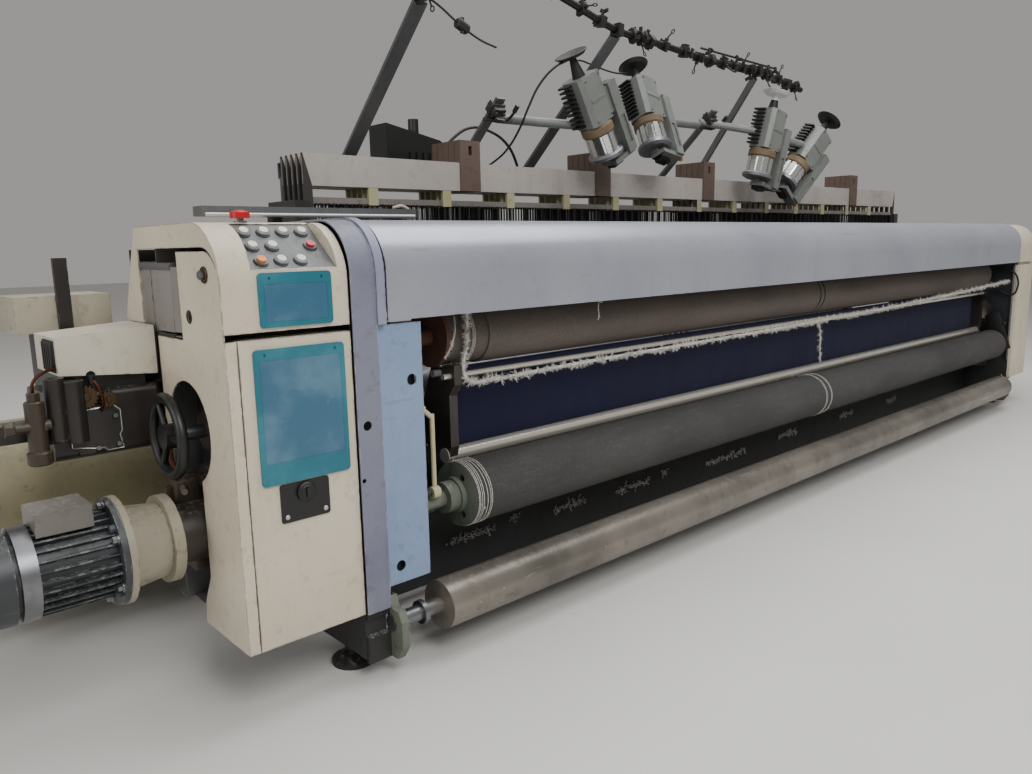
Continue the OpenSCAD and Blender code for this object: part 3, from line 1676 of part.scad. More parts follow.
// Rocking sley: shaft, legs, beam and the projectile guide teeth
module sley() {
    shaft_left = frame_left_x + 2;
    shaft_right = frame_right_x - 2;
    color("silver") {
        rod_x(shaft_left, shaft_right, sley_pivot_y, sley_pivot_z, sley_shaft_d);
        for (i = [0 : sley_leg_count - 1])
            translate([sley_left_x + 150 + i * (sley_right_x - sley_left_x - 330)
                    / (sley_leg_count - 1), sley_pivot_y - 16, sley_pivot_z])
                cube([30, 32, sley_beam_z - sley_pivot_z + 1]);
        along_x(sley_left_x, sley_right_x)
            difference() {
                translate([sley_beam_y[0], sley_beam_z])
                    round_rect(sley_beam_y[1] - sley_beam_y[0], sley_beam_h, 8);
                translate([sley_beam_y[0] + 8, sley_beam_z + 8])
                    square([54, sley_beam_h - 16]);
            }
        for (x = [sley_left_x + 30 : tooth_pitch : sley_right_x - 40])
            translate([x, sley_beam_y[0] + 4, sley_beam_z + sley_beam_h - 1])
                cube([14, 26, 34]);
    }
}

// Reed: a long comb in its frame, standing on the sley
module reed() {
    low = sley_beam_z + sley_beam_h;
    len = sley_right_x - sley_left_x;
    gaps = floor((len - 2 * reed_frame) / dent_pitch);
    color("lightgray")
        difference() {
            translate([sley_left_x, reed_y, low])
                cube([len, reed_t, reed_h]);
            for (i = [0 : gaps - 1])
                translate([sley_left_x + reed_frame + i * dent_pitch + dent_w, reed_y - 1,
                    low + reed_frame])
                    cube([dent_pitch - dent_w, reed_t + 2, reed_h - 2 * reed_frame]);
        }
}

// Heald frame: slats, end struts, guide blocks, heald bars, clips and healds
module heald_frame(i) {
    y = heald_front_y + i * heald_pitch;
    len = heald_right_x - heald_left_x;
    mid_y = y + slat_t / 2;
    color("whitesmoke") {
        difference() {
            translate([heald_left_x, y, heald_top_z - slat_h])
                cube([len, slat_t, slat_h]);
            translate([heald_left_x - 1, y + 3, heald_top_z - slat_h + 6])
                cube([len + 2, slat_t - 6, slat_h - 12]);
        }
        translate([heald_left_x, y, heald_low_z])
            cube([len, slat_t, slat_low_h]);
    }
    color("dimgray") {
        for (x = [heald_left_x, heald_right_x - strut_w])
            translate([x, y, heald_low_z + slat_low_h - 1])
                cube([strut_w, slat_t, heald_top_z - slat_h - heald_low_z - slat_low_h + 2]);
        for (z = [heald_bar_z, heald_bar_low_z])
            translate([heald_left_x + strut_w - 1, mid_y - 1.5, z])
                cube([len - 2 * strut_w + 2, 3, heald_bar_h]);
        for (x = [heald_left_x + strut_w + 30 : heald_wire_pitch : heald_right_x - strut_w - 30])
            translate([x, mid_y - 3, heald_bar_low_z + 1])
                cube([2, 6, heald_bar_z - heald_bar_low_z + 1]);
    }
    color("khaki")
        for (x = [heald_left_x + 250 : clip_pitch : heald_right_x - 200]) {
            translate([x, y + 1, heald_bar_z - 4])
                cube([clip_w, slat_t - 2, heald_top_z - slat_h - heald_bar_z + 5]);
            translate([x, y + 1, heald_low_z + slat_low_h - 1])
                cube([clip_w, slat_t - 2, heald_bar_low_z - heald_low_z - slat_low_h + 12]);
        }
    color("rosybrown")
        for (x = block_places)
            difference() {
                translate([x - block_w / 2, y - 6, heald_top_z - slat_h])
                    cube([block_w, block_t, slat_h + block_rise]);
                translate([x - 8, y - 7, heald_top_z + 30])
                    cube([16, block_t + 2, 34]);
            }
    color("dimgray")
        for (x = [-1500, 0, 1700])
            translate([x, mid_y - 4, 560])
                cube([lift_rod_w, 8, heald_low_z - 559]);
}

module hand_wheel() {
    ring_r = (wheel_d - wheel_rim_d) / 2;
    color("black") {
        translate([wheel_x, wheel_y, wheel_z])
            rotate([0, 90, 0]) {
                rotate_extrude($fn = 72)
                    translate([ring_r, 0])
                        circle(d = wheel_rim_d, $fn = 24);
                translate([0, 0, -14])
                    cylinder(h = 40, d = wheel_hub_d);
                for (a = [30, 150, 270])
                    rotate([0, 0, a])
                        rotate([0, 90, 0])
                            cylinder(h = ring_r, d = spoke_d);
            }
        rod_x(wheel_x + 10, wheel_shaft_end, wheel_y, wheel_z, wheel_shaft_d);
    }
}

module take_up_roller() {
    color("rosybrown") {
        difference() {
            roller(take_up_neck_x, take_up_right_x, take_up_y, take_up_z, take_up_d, 12, 20);
            for (x = [118, 158])
                tube_x(x, x + 9, take_up_y, take_up_z, take_up_d + 2, take_up_d - 8);
        }
        tube_x(take_up_left_x, take_up_neck_x + 1, take_up_y, take_up_z, take_up_d - 12,
            take_up_d - 40);
        rod_x(take_up_left_x - 10, take_up_left_x + 4, take_up_y, take_up_z, take_up_d - 4);
        rod_x(case_x + 2, take_up_left_x, take_up_y, take_up_z, journal_d);
        rod_x(take_up_right_x - 1, frame_right_x - 2, take_up_y, take_up_z, journal_d);
    }
}

module sand_roller() {
    color("dimgray") {
        roller(sand_left_x, sand_right_x - 88, sand_y, sand_z, sand_d, 12, 20);
        rod_x(sand_left_x - 16, sand_left_x + 1, sand_y, sand_z, 106);
        rod_x(sand_left_x - 52, sand_left_x - 15, sand_y, sand_z, 92);
        rod_x(case_x + 2, sand_left_x - 52 - seat_gap, sand_y, sand_z, journal_d);
        rod_x(sand_right_x - 89, sand_right_x - 70, sand_y, sand_z, 106);
        rod_x(sand_right_x - 71, frame_right_x - 2, sand_y, sand_z, journal_d);
    }
}

module cloth_tube() {
    color("slategray") {
        tube_x(tube_left_x, tube_right_x, tube_y, tube_z, tube_d, tube_d - 14);
        for (x = [tube_left_x, tube_right_x - 30])
            rod_x(x, x + 30, tube_y, tube_z, tube_d - 13);
        rod_x(hook_left_x - 4, tube_left_x + 1, tube_y, tube_z, tube_journal_d);
        rod_x(tube_right_x - 1, hook_right_x + hook_t + 10, tube_y, tube_z, tube_journal_d);
        tube_x(tube_left_x - 70, tube_left_x - 56, tube_y, tube_z, 66, tube_journal_d - 1);
    }
}

// Flange of the warp beam with ribs and round openings
module warp_flange(x, side) {
    translate([x, warp_y, warp_z])
        rotate([0, 90, 0])
            difference() {
                union() {
                    cylinder(h = warp_flange_t, d = warp_flange_d, $fn = 96);
                    translate([0, 0, side > 0 ? -14 : 0])
                        cylinder(h = warp_flange_t + 14, d = 260);
                    for (a = [0 : 60 : 300])
                        rotate([0, 0, a])
                            translate([100, -7, side > 0 ? -12 : 2])
                                cube([warp_flange_d / 2 - 124, 14, warp_flange_t + 10]);
                }
                for (a = [30 : 60 : 330])
                    rotate([0, 0, a]) {
                        translate([warp_flange_d / 4 + 60, 0, -20])
                            cylinder(h = 60, d = 96);
                        translate([60, 0, -20])
                            cylinder(h = 60, d = 26);
                    }
            }
}

module warp_beam() {
    color("gray") {
        tube_x(warp_left_x + 1, warp_right_x - 1, warp_y, warp_z, warp_barrel_d,
            warp_barrel_d - 24);
        warp_flange(warp_left_x, 1);
        warp_flange(warp_right_x - warp_flange_t, -1);
        rod_x(frame_left_x + 2, warp_left_x + 2, warp_y, warp_z, journal_d);
        rod_x(warp_right_x - 2, frame_right_x - 2, warp_y, warp_z, journal_d);
    }
}

module back_rest() {
    color("silver") {
        roller(back_rest_left_x, back_rest_right_x, back_rest_y, back_rest_z, back_rest_d, 8, 30);
        rod_x(frame_left_out + 8, back_rest_left_x + 1, back_rest_y, back_rest_z, journal_d);
        rod_x(back_rest_right_x - 1, frame_right_out - 8, back_rest_y, back_rest_z, journal_d);
    }
}

// Bent release lever on its own pin
module lever() {
    color("khaki")
        difference() {
            union() {
                rod_x(lever_x - lever_boss_t / 2, lever_x + lever_boss_t / 2, lever_y, lever_z,
                    lever_boss_d);
                translate([lever_x, lever_y, lever_z + 10])
                    cylinder(h = lever_rise, d = lever_rod_d);
                translate([lever_x, lever_y, lever_z + lever_rise])
                    rotate([0, -48, 0]) {
                        cylinder(h = 56, d = lever_rod_d);
                        translate([0, 0, 40])
                            cylinder(h = 24, d = lever_rod_d + 8);
                    }
            }
            rod_x(lever_x - lever_boss_t, lever_x + lever_boss_t, lever_y, lever_z,
                lever_pin_d + 2 * running_gap);
        }
}

module stop_button() {
    color("red")
        translate([stop_x, stop_y, head_top_z]) {
            translate([0, 0, 4 + stop_travel + 1])
                rotate_extrude()
                    union() {
                        square([stop_d / 2, 14]);
                        translate([0, 13])
                            intersection() {
                                translate([0, -stop_d * 0.65])
                                    circle(stop_d * 0.82);
                                square([stop_d / 2, 12]);
                            }
                    }
            translate([0, 0, -20])
                cylinder(h = 32, d = stop_stem_d);
        }
}

module selector_knob() {
    face_y = column_front_y - selector_t;
    color("black")
        translate([knob_x, face_y - seat_gap, knob_z])
            rotate([90, 0, 0]) {
                cylinder(h = 8, d = knob_d);
                translate([-4, -knob_d / 2 + 1, 7])
                    cube([8, knob_d - 2, 8]);
                translate([0, 0, -selector_t - sheet_t - 6])
                    cylinder(h = selector_t + sheet_t + 7, d = knob_stem_d);
            }
}

module push_button(i, shade) {
    color(shade)
        at_button(button_places[i - 1]) {
            translate([0, 0, button_travel + 1])
                cylinder(h = 7, d = button_d);
            translate([0, 0, -plate_t - 8])
                cylinder(h = plate_t + 8 + button_travel + 2, d = button_stem_d);
        }
}

frame_left();
frame_right();
cross_beams();
machine_feet();
end_panel();
breast_cover();
end_cover();
column_side();
column_door();
column_head();
control_plates();
card_pockets();
pocket_windows();
column_core();
drive_housing();
motor();
motor_adaptor();
picking_unit();
picking_cover();
shedding_housing();
receiving_column();
receiving_unit();
roller_bearings();
tension_bars();
bar_brackets();
beam_brackets();
cloth_web();
waste_rope();
heald_guides();
stop_motion();
feeder_stand();
guide_pipe();
weft_feeders();
power_box();
sley();
reed();
heald_frame(0);  // heald_frame_1
heald_frame(1);  // heald_frame_2
heald_frame(2);  // heald_frame_3
heald_frame(3);  // heald_frame_4
heald_frame(4);  // heald_frame_5
hand_wheel();
take_up_roller();
sand_roller();
cloth_tube();
warp_beam();
back_rest();
lever();
stop_button();
selector_knob();
push_button(1, "white");  // button_1
push_button(2, "white");  // button_2
push_button(3, "white");  // button_3
push_button(4, "white");  // button_4
push_button(5, "white");  // button_5
push_button(6, "white");  // button_6
push_button(7, "red");  // button_7
push_button(8, "orange");  // button_8
push_button(9, "white");  // button_9
push_button(10, "white");  // button_10
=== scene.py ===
"""Looks of the wide weaving loom: finishes for every part and the small pieces that ride on them."""

import logging
import math
import random
from abc import ABC, abstractmethod
from dataclasses import dataclass
from enum import Enum
from typing import Callable, Sequence

import bpy
from mathutils import Euler, Matrix, Vector


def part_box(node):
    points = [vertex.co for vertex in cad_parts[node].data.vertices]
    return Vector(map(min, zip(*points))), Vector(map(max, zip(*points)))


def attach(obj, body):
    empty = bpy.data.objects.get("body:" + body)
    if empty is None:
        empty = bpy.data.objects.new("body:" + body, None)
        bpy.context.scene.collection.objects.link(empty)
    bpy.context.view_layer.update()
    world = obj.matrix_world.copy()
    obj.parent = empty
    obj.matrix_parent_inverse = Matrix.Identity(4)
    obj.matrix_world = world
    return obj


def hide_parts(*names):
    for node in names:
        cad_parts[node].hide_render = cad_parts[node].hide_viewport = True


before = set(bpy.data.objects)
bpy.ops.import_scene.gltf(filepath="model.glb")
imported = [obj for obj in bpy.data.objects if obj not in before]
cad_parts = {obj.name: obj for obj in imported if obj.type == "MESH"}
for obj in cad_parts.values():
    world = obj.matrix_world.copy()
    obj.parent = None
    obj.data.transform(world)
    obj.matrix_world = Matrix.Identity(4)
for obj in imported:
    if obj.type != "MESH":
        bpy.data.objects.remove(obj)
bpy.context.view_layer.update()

log = logging.getLogger("loom")

Object = bpy.types.Object
Socket = bpy.types.NodeSocket
Point = tuple[float, float, float]
Test = Callable[[Vector, Vector], bool]
MM = 0.001


class Axis(Enum):
    """Direction along which a piece is drawn out."""

    X = (0.0, math.pi / 2, 0.0)
    Y = (math.pi / 2, 0.0, 0.0)
    Z = (0.0, 0.0, 0.0)


class Wave(Enum):
    """Waves per metre of each pattern, from the real size of what it shows."""

    FLOOR = 1.5  # 670 mm, wiped floor
    DRIFT = 2.2  # 450 mm, faded paint
    FOLD = 3.0  # 330 mm, slack folds of cloth
    WORN_STRETCH = 5.0  # 200 mm, worn stretches of a roller
    FADE = 7.0  # 140 mm, haze in plastic
    STREAK = 9.0  # 110 mm, runs of oil
    TARNISH = 14.0  # 70 mm, dull patches on metal
    BLOT = 26.0  # 40 mm, oil blots
    BROKEN = 38.0  # 26 mm, gaps in a worn edge
    CLOTH_LINT = 45.0  # 22 mm, lint on cloth
    SCRATCH = 55.0  # 18 mm between two scratches
    SCUFF = 60.0  # 17 mm, scuffs, and flocks on a roller
    CHIP = 70.0  # 14 mm between two chips
    LINT = 95.0  # 11 mm, flocks of lint
    DUST = 120.0  # 8 mm, flecks of dust
    FIBRE = 260.0  # 4 mm, coarser than a real fibre so that it shows
    PEEL = 420.0  # 2.4 mm, orange peel of sprayed paint
    MOULD = 500.0  # 2 mm, moulded grain, coarser than real so that it shows
    GRIT = 700.0  # 1.4 mm, grit of a roller cover, coarser than real so that it shows
    TURNING = 900.0  # 1.1 mm, turning marks, coarser than real so that they show


# Colours and shader nodes


def linear(hex_colour: str) -> tuple[float, float, float, float]:
    """Turns an sRGB colour into the linear one that shaders take.

    Args:
        hex_colour: Six hexadecimal digits.

    Returns:
        Linear red, green, blue and a full alpha.
    """
    parts = [int(hex_colour[i : i + 2], 16) / 255 for i in (0, 2, 4)]
    low = [c / 12.92 if c <= 0.04045 else ((c + 0.055) / 1.055) ** 2.4 for c in parts]
    return (low[0], low[1], low[2], 1.0)


def add_node(
    tree: bpy.types.NodeTree, kind: str, inputs: dict | None = None, **settings: object
) -> bpy.types.Node:
    """Adds a shader node and fills in its settings and sockets.

    Args:
        tree: Node tree that gets the node.
        kind: Node type without the ShaderNode prefix.
        inputs: Sockets by name or number, each with a constant or a socket to link.
        **settings: Properties of the node.

    Returns:
        The new node.
    """
    node = tree.nodes.new("ShaderNode" + kind)
    for key, value in settings.items():
        setattr(node, key, value)
    for key, value in (inputs or {}).items():
        socket = node.inputs[key]
        if isinstance(value, Socket):
            tree.links.new(value, socket)
        else:
            socket.default_value = value
    return node


class Shader:
    """A material's node tree with the few building blocks that the finishes share."""

    def __init__(self, name: str) -> None:
        """Starts an empty material of that name.

        Args:
            name: The real material's name.
        """
        self.material = bpy.data.materials.new(f"{name}_finish")
        self.material.use_nodes = True
        self.tree = self.material.node_tree
        self.tree.nodes.clear()
        self.coords = add_node(self.tree, "TexCoord").outputs["Object"]

    def scaled(self, stretch: Point) -> Socket:
        """Object coordinates stretched by a Mapping node."""
        return add_node(self.tree, "Mapping", {"Vector": self.coords, "Scale": stretch}).outputs["Vector"]

    def noise(
        self, wave: Wave, detail: float = 3.0, stretch: Point = (1.0, 1.0, 1.0), rough: float = 0.55
    ) -> Socket:
        """Noise with the waves of a pattern."""
        inputs = {"Vector": self.scaled(stretch), "Scale": wave.value, "Detail": detail, "Roughness": rough}
        return add_node(self.tree, "TexNoise", inputs).outputs["Fac"]

    def ramp(self, value: Socket, low: float, high: float) -> Socket:
        """Maps low..high to 0..1, clamped and smooth."""
        inputs = {"Value": value, "From Min": low, "From Max": high}
        return add_node(self.tree, "MapRange", inputs, interpolation_type="SMOOTHSTEP").outputs["Result"]

    def maths(self, kind: str, a: object, b: object) -> Socket:
        """One maths node on two values."""
        return add_node(self.tree, "Math", {0: a, 1: b}, operation=kind).outputs[0]

    def times(self, a: object, b: object) -> Socket:
        """Product of two values."""
        return self.maths("MULTIPLY", a, b)

    def plus(self, a: object, b: object) -> Socket:
        """Sum of two values."""
        return self.maths("ADD", a, b)

    def mix(self, amount: object, a: object, b: object) -> Socket:
        """Mixes two colours by an amount."""
        return add_node(self.tree, "Mix", {0: amount, 6: a, 7: b}, data_type="RGBA").outputs[2]

    def axis(self, index: int) -> Socket:
        """One of the object coordinates, in metres."""
        return add_node(self.tree, "SeparateXYZ", {0: self.coords}).outputs[index]

    def facing_up(self) -> Socket:
        """How far a surface faces the ceiling, from 0 to 1."""
        normal = add_node(self.tree, "NewGeometry").outputs["Normal"]
        return self.ramp(add_node(self.tree, "SeparateXYZ", {0: normal}).outputs[2], 0.55, 0.95)

    def edges(self, radius: float) -> Socket:
        """Where a surface lies within a radius in metres of a sharp edge, from 0 to 1.

        Args:
            radius: How far from an edge it reaches, in metres.

        Returns:
            The share.
        """
        soft = add_node(self.tree, "Bevel", {"Radius": radius}, samples=4).outputs["Normal"]
        true = add_node(self.tree, "NewGeometry").outputs["Normal"]
        same = add_node(self.tree, "VectorMath", {0: soft, 1: true}, operation="DOT_PRODUCT")
        return self.ramp(same.outputs["Value"], 0.985, 0.85)

    def bump(self, height: Socket, size: float, strength: float) -> Socket:
        """Surface normal raised by a height map."""
        inputs = {"Height": height, "Distance": size, "Strength": strength}
        return add_node(self.tree, "Bump", inputs).outputs["Normal"]

    def close(self, **sockets: object) -> bpy.types.Material:
        """Adds the surface and output nodes.

        Args:
            **sockets: Inputs of the surface, with underscores for spaces.

        Returns:
            The finished material.
        """
        inputs = {key.replace("_", " "): value for key, value in sockets.items()}
        surface = add_node(self.tree, "BsdfPrincipled", inputs)
        add_node(self.tree, "OutputMaterial", {"Surface": surface.outputs[0]})
        return self.material


# Finishes


FLUFF_PALE = "b9b6ae"
FLUFF_ON_COVER = "c4c2bc"
FLUFF_ON_CLOTH = "8f909a"
DUST = "a9a69e"
YARN_SHADOW = "a8a59d"
EDGE_REACH = 0.005
FOOT_FADE = 0.3


@dataclass(frozen=True)
class Finish(ABC):
    """A surface finish that can make its own material.

    Attributes:
        name: Name of the real material.
        colour: Main colour.
    """

    name: str
    colour: str

    @abstractmethod
    def build(self) -> bpy.types.Material:
        """Makes the material."""

    def material(self) -> bpy.types.Material:
        """The finish's material, made on first use."""
        return bpy.data.materials.get(f"{self.name}_finish") or self.build()


@dataclass(frozen=True)
class Paint(Finish):
    """Machine paint over metal, with dirt, chipped spots and settled lint; on the motor and the cloth tube
    the pale spots and edges are painted highlights.

    Attributes:
        shade: Second tone that the paint drifts to.
        dirt: Colour of the grime.
        soil: How much grime there is, from 0 to 1.
        chip_and_highlight: Colour under chipped paint; on the motor and the cloth tube it is the colour of
            painted highlights.
        wear_and_highlight: How much of the paint is chipped, from 0 to 1; on the motor and the cloth tube,
            how much painted highlight there is.
        lint: How much lint lies on upward faces, from 0 to 1.
        rough: Roughness of the clean paint.
        metal: Metallic share of the paint.
        low: Height in metres below which grime gathers.
        edge: How far the edges are rubbed through, from 0 to 1; on the motor these pale edges are a painted
            highlight.
    """

    shade: str = "808080"
    dirt: str = "2a2622"
    soil: float = 0.4
    chip_and_highlight: str = "33302d"
    wear_and_highlight: float = 0.3
    lint: float = 0.3
    rough: float = 0.45
    metal: float = 0.0
    low: float = 0.35
    edge: float = 0.0

    def build(self) -> bpy.types.Material:
        """Layers drift, grime, scratches, chipped spots and lint over the base paint; on the motor and the
        cloth tube the pale spots and edges are painted highlights.

        Returns:
            The material.
        """
        s = Shader(self.name)
        base = s.mix(s.ramp(s.noise(Wave.DRIFT, 4.0), 0.35, 0.7), linear(self.colour), linear(self.shade))
        streaks = s.ramp(s.noise(Wave.STREAK, 5.0, (1.0, 1.0, 0.18), 0.7), 0.5, 0.78)
        blots = s.ramp(s.noise(Wave.BLOT, 6.0, rough=0.72), 0.52, 0.75)
        foot = s.ramp(s.axis(2), self.low, self.low - FOOT_FADE)
        grime = s.maths("MAXIMUM", s.times(streaks, 0.6), s.times(blots, 0.8))
        grime = s.plus(grime, s.times(foot, 0.5))
        grime = s.maths("MINIMUM", s.times(grime, self.soil), 0.92)
        colour = s.mix(grime, base, linear(self.dirt))
        scratch = s.ramp(s.noise(Wave.SCRATCH, 2.0, (0.08, 1.0, 1.0)), 0.70, 0.74)
        start = 0.80 - 0.2 * self.wear_and_highlight
        chip_and_highlight_spots = s.ramp(s.noise(Wave.CHIP, 4.0, rough=0.6), start, 0.83 - 0.2 * self.wear_and_highlight)
        wear_and_highlight_mask = s.maths("MAXIMUM", chip_and_highlight_spots, s.times(scratch, 0.5 * self.wear_and_highlight))
        if self.edge > 0:
            start = 0.62 - 0.2 * self.edge
            broken = s.ramp(s.noise(Wave.BROKEN, 5.0, rough=0.7), start, 0.7 - 0.2 * self.edge)
            wear_and_highlight_mask = s.maths("MAXIMUM", wear_and_highlight_mask, s.times(broken, s.edges(EDGE_REACH)))
        # Mixes in the colour under chipped paint; on the motor and the cloth tube these pale spots and
        # edges are painted highlights
        colour = s.mix(wear_and_highlight_mask, colour, linear(self.chip_and_highlight))
        fluff = s.ramp(s.noise(Wave.LINT, 5.0, (1.0, 0.5, 1.0), 0.75), 0.45, 0.7)
        lint = s.times(s.times(fluff, s.facing_up()), self.lint)
        colour = s.mix(lint, colour, linear(FLUFF_PALE))
        rough = s.plus(self.rough, s.times(grime, 0.35))
        rough = s.maths("MINIMUM", s.plus(rough, s.times(lint, 0.4)), 1.0)
        height = s.maths("SUBTRACT", s.noise(Wave.PEEL, 2.0), s.times(wear_and_highlight_mask, 1.2))
        return s.close(
            Base_Color=colour, Roughness=rough, Metallic=self.metal, Normal=s.bump(height, 0.0004, 0.35)
        )


@dataclass(frozen=True)
class Metal(Finish):
    """Bare or plated metal with turning marks and dull spots.

    Attributes:
        dull: Colour of tarnish and oil.
        rough: Roughness of the clean metal.
        grain: Direction in which the marks run.
        tarnish: How much of it is dull, from 0 to 1.
        share: Metallic share of the surface; the rest is haze.
    """

    dull: str = "4a4642"
    rough: float = 0.28
    grain: Point = (0.02, 1.0, 1.0)
    tarnish: float = 0.4
    share: float = 0.95

    def build(self) -> bpy.types.Material:
        """Adds fine marks along the grain and patches of tarnish.

        Returns:
            The material.
        """
        s = Shader(self.name)
        marks = s.noise(Wave.TURNING, 2.0, self.grain)
        patches = s.ramp(s.noise(Wave.TARNISH, 6.0, rough=0.7), 0.45, 0.75)
        dull = s.times(patches, self.tarnish)
        colour = s.mix(dull, linear(self.colour), linear(self.dull))
        rough = s.plus(s.times(marks, 0.16), self.rough - 0.06)
        rough = s.plus(rough, s.times(dull, 0.4))
        return s.close(
            Base_Color=colour, Roughness=rough, Metallic=self.share, Normal=s.bump(marks, 0.0002, 0.25)
        )


@dataclass(frozen=True)
class Plastic(Finish):
    """Moulded plastic with a fine grain and scuffs.

    Attributes:
        scuff: Colour of worn spots.
        rough: Roughness of the clean plastic.
        dust: How much dust lies on it, from 0 to 1.
        alpha: Opacity.
        haze: How far broad patches have faded, from 0 to 1.
    """

    scuff: str = "9a9a98"
    rough: float = 0.4
    dust: float = 0.25
    alpha: float = 1.0
    haze: float = 0.0

    def build(self) -> bpy.types.Material:
        """Adds scuffs, dust and a fine moulded grain.

        Returns:
            The material.
        """
        s = Shader(self.name)
        scuffs = s.times(s.ramp(s.noise(Wave.SCUFF, 5.0, (1.0, 1.0, 0.4), 0.7), 0.6, 0.8), 0.5)
        faded = s.times(s.ramp(s.noise(Wave.FADE, 4.0, rough=0.6), 0.42, 0.7), self.haze)
        colour = s.mix(s.maths("MAXIMUM", scuffs, faded), linear(self.colour), linear(self.scuff))
        fluff = s.ramp(s.noise(Wave.DUST, 5.0, rough=0.75), 0.42, 0.7)
        dust = s.times(s.times(fluff, s.facing_up()), self.dust)
        colour = s.mix(dust, colour, linear(DUST))
        rough = s.plus(self.rough, s.times(s.plus(scuffs, dust), 0.5))
        grain = s.bump(s.noise(Wave.MOULD, 1.0), 0.0001, 0.15)
        return s.close(Base_Color=colour, Roughness=rough, Alpha=self.alpha, Normal=grain)


@dataclass(frozen=True)
class Cover(Finish):
    """Roller cover of emery, cork or rubber, with lint caught in it.

    Attributes:
        fleck: Colour of the grains.
        lint: How much lint clings to it, from 0 to 1.
    """

    fleck: str = "1c1a19"
    lint: float = 0.35

    def build(self) -> bpy.types.Material:
        """Adds coarse grains and streaks of lint along the roller.

        Returns:
            The material.
        """
        s = Shader(self.name)
        grains = s.noise(Wave.GRIT, 3.0)
        base = s.mix(s.ramp(grains, 0.45, 0.6), linear(self.colour), linear(self.fleck))
        drift = s.ramp(s.noise(Wave.WORN_STRETCH, 4.0, (0.4, 1.0, 1.0)), 0.35, 0.7)
        base = s.mix(s.times(drift, 0.45), base, linear(self.fleck))
        fluff = s.ramp(s.noise(Wave.SCUFF, 6.0, (0.22, 1.0, 1.0), 0.78), 0.52, 0.72)
        colour = s.mix(s.times(fluff, self.lint), base, linear(FLUFF_ON_COVER))
        height = s.plus(grains, s.times(fluff, 0.6))
        return s.close(Base_Color=colour, Roughness=0.86, Normal=s.bump(height, 0.0008, 0.6))


@dataclass(frozen=True)
class Woven(Finish):
    """Woven cloth with visible threads, slack folds and lint.

    Attributes:
        thread: Colour of the crossing threads.
        pitch: Spacing of the threads in metres, coarser than real so that they show.
    """

    thread: str = "1d2233"
    pitch: float = 0.0016

    def build(self) -> bpy.types.Material:
        """Crosses two thread waves and lets lint and folds show.

        Returns:
            The material.
        """
        s = Shader(self.name)
        wave = {"Vector": s.coords, "Scale": 0.314 / self.pitch, "Distortion": 0.6, "Detail": 1.0}
        waves = [
            add_node(s.tree, "TexWave", wave, bands_direction=direction).outputs["Fac"]
            for direction in ("X", "Z")
        ]
        weave = s.times(waves[0], waves[1])
        folds = s.noise(Wave.FOLD, 3.0, (1.0, 1.0, 0.35))
        colour = s.mix(weave, linear(self.colour), linear(self.thread))
        colour = s.mix(s.ramp(folds, 0.3, 0.75), colour, linear(self.colour))
        fluff = s.ramp(s.noise(Wave.CLOTH_LINT, 6.0, rough=0.8), 0.6, 0.78)
        colour = s.mix(s.times(fluff, 0.07), colour, linear(FLUFF_ON_CLOTH))
        height = s.plus(s.times(weave, 0.2), s.times(folds, 6.0))
        return s.close(
            Base_Color=colour, Roughness=0.92, Sheen_Weight=0.04, Normal=s.bump(height, 0.002, 0.8)
        )


@dataclass(frozen=True)
class Yarn(Finish):
    """Loose white yarn or rope with soft fibres."""

    def build(self) -> bpy.types.Material:
        """Adds fibre streaks and a soft sheen.

        Returns:
            The material.
        """
        s = Shader(self.name)
        fibres = s.noise(Wave.FIBRE, 4.0, (0.25, 1.0, 1.0), 0.7)
        colour = s.mix(s.ramp(fibres, 0.3, 0.7), linear(YARN_SHADOW), linear(self.colour))
        return s.close(
            Base_Color=colour, Roughness=0.95, Sheen_Weight=0.5, Normal=s.bump(fibres, 0.003, 0.8)
        )


# Enamel brushed on cast iron: thick and dull, with dark chips and lint on every ledge
CAST_DARK = Paint("cast_frame_paint", "25282c", shade="303439", soil=0.7, wear_and_highlight=0.45, lint=0.5, low=0.6)
# The same enamel on welded beams: darker, and greyer where lint settles
BEAM_DARK = Paint("beam_paint", "1b1d20", shade="26292d", soil=0.7, wear_and_highlight=0.35, lint=0.7, low=0.6)
# Black oxide on iron: a dry satin black that shows dust and bare spots
IRON_BLACK = Paint("black_iron", "161514", shade="23201d", soil=0.6, wear_and_highlight=0.3, lint=0.3, rough=0.5)
# Enamel sprayed on pressed sheet steel: even and cool, with rubbed edges
PANEL_BLUE = Paint("blue_panel_paint", "8196b4", shade="768bab", soil=0.35, wear_and_highlight=0.3, rough=0.4, edge=0.5)
# Aluminium paint on rolled sheet: a pale sheen that changes along the curve
COVER_SILVER = Paint(
    "silver_cover_paint", "a9acb6", shade="a0a3af",
    soil=0.16, wear_and_highlight=0.3, lint=0.05, rough=0.3, metal=0.45, edge=0.4,
)
# Enamel on folded steel that is brushed past all day: scratches show bright metal
COVER_GREY = Paint(
    "blue_grey_paint", "787a8a", shade="63667a",
    soil=0.45, wear_and_highlight=0.5, chip_and_highlight="a8a5a4", edge=0.6,
)
# Enamel on a rolled steel edge: half glossy, worn along its rim
RING_LILAC = Paint("lilac_ring_paint", "8b8ca4", shade="7a7b93", soil=0.3, wear_and_highlight=0.3, rough=0.4, edge=0.5)
# Cream enamel sprayed on folded sheet: warm and half glossy, brown where it chips
CREAM = Paint(
    "cream_paint", "d2c7b2", shade="c6bba5",
    soil=0.32, wear_and_highlight=0.25, chip_and_highlight="5e5548", rough=0.42, low=0.4, edge=1.0,
)
# The same enamel in oil mist: yellowed and blotched
CREAM_DIRTY = Paint(
    "old_cream_paint", "a59e8b", shade="8b8472",
    soil=0.8, wear_and_highlight=0.4, chip_and_highlight="55493c", rough=0.48, edge=0.6,
)
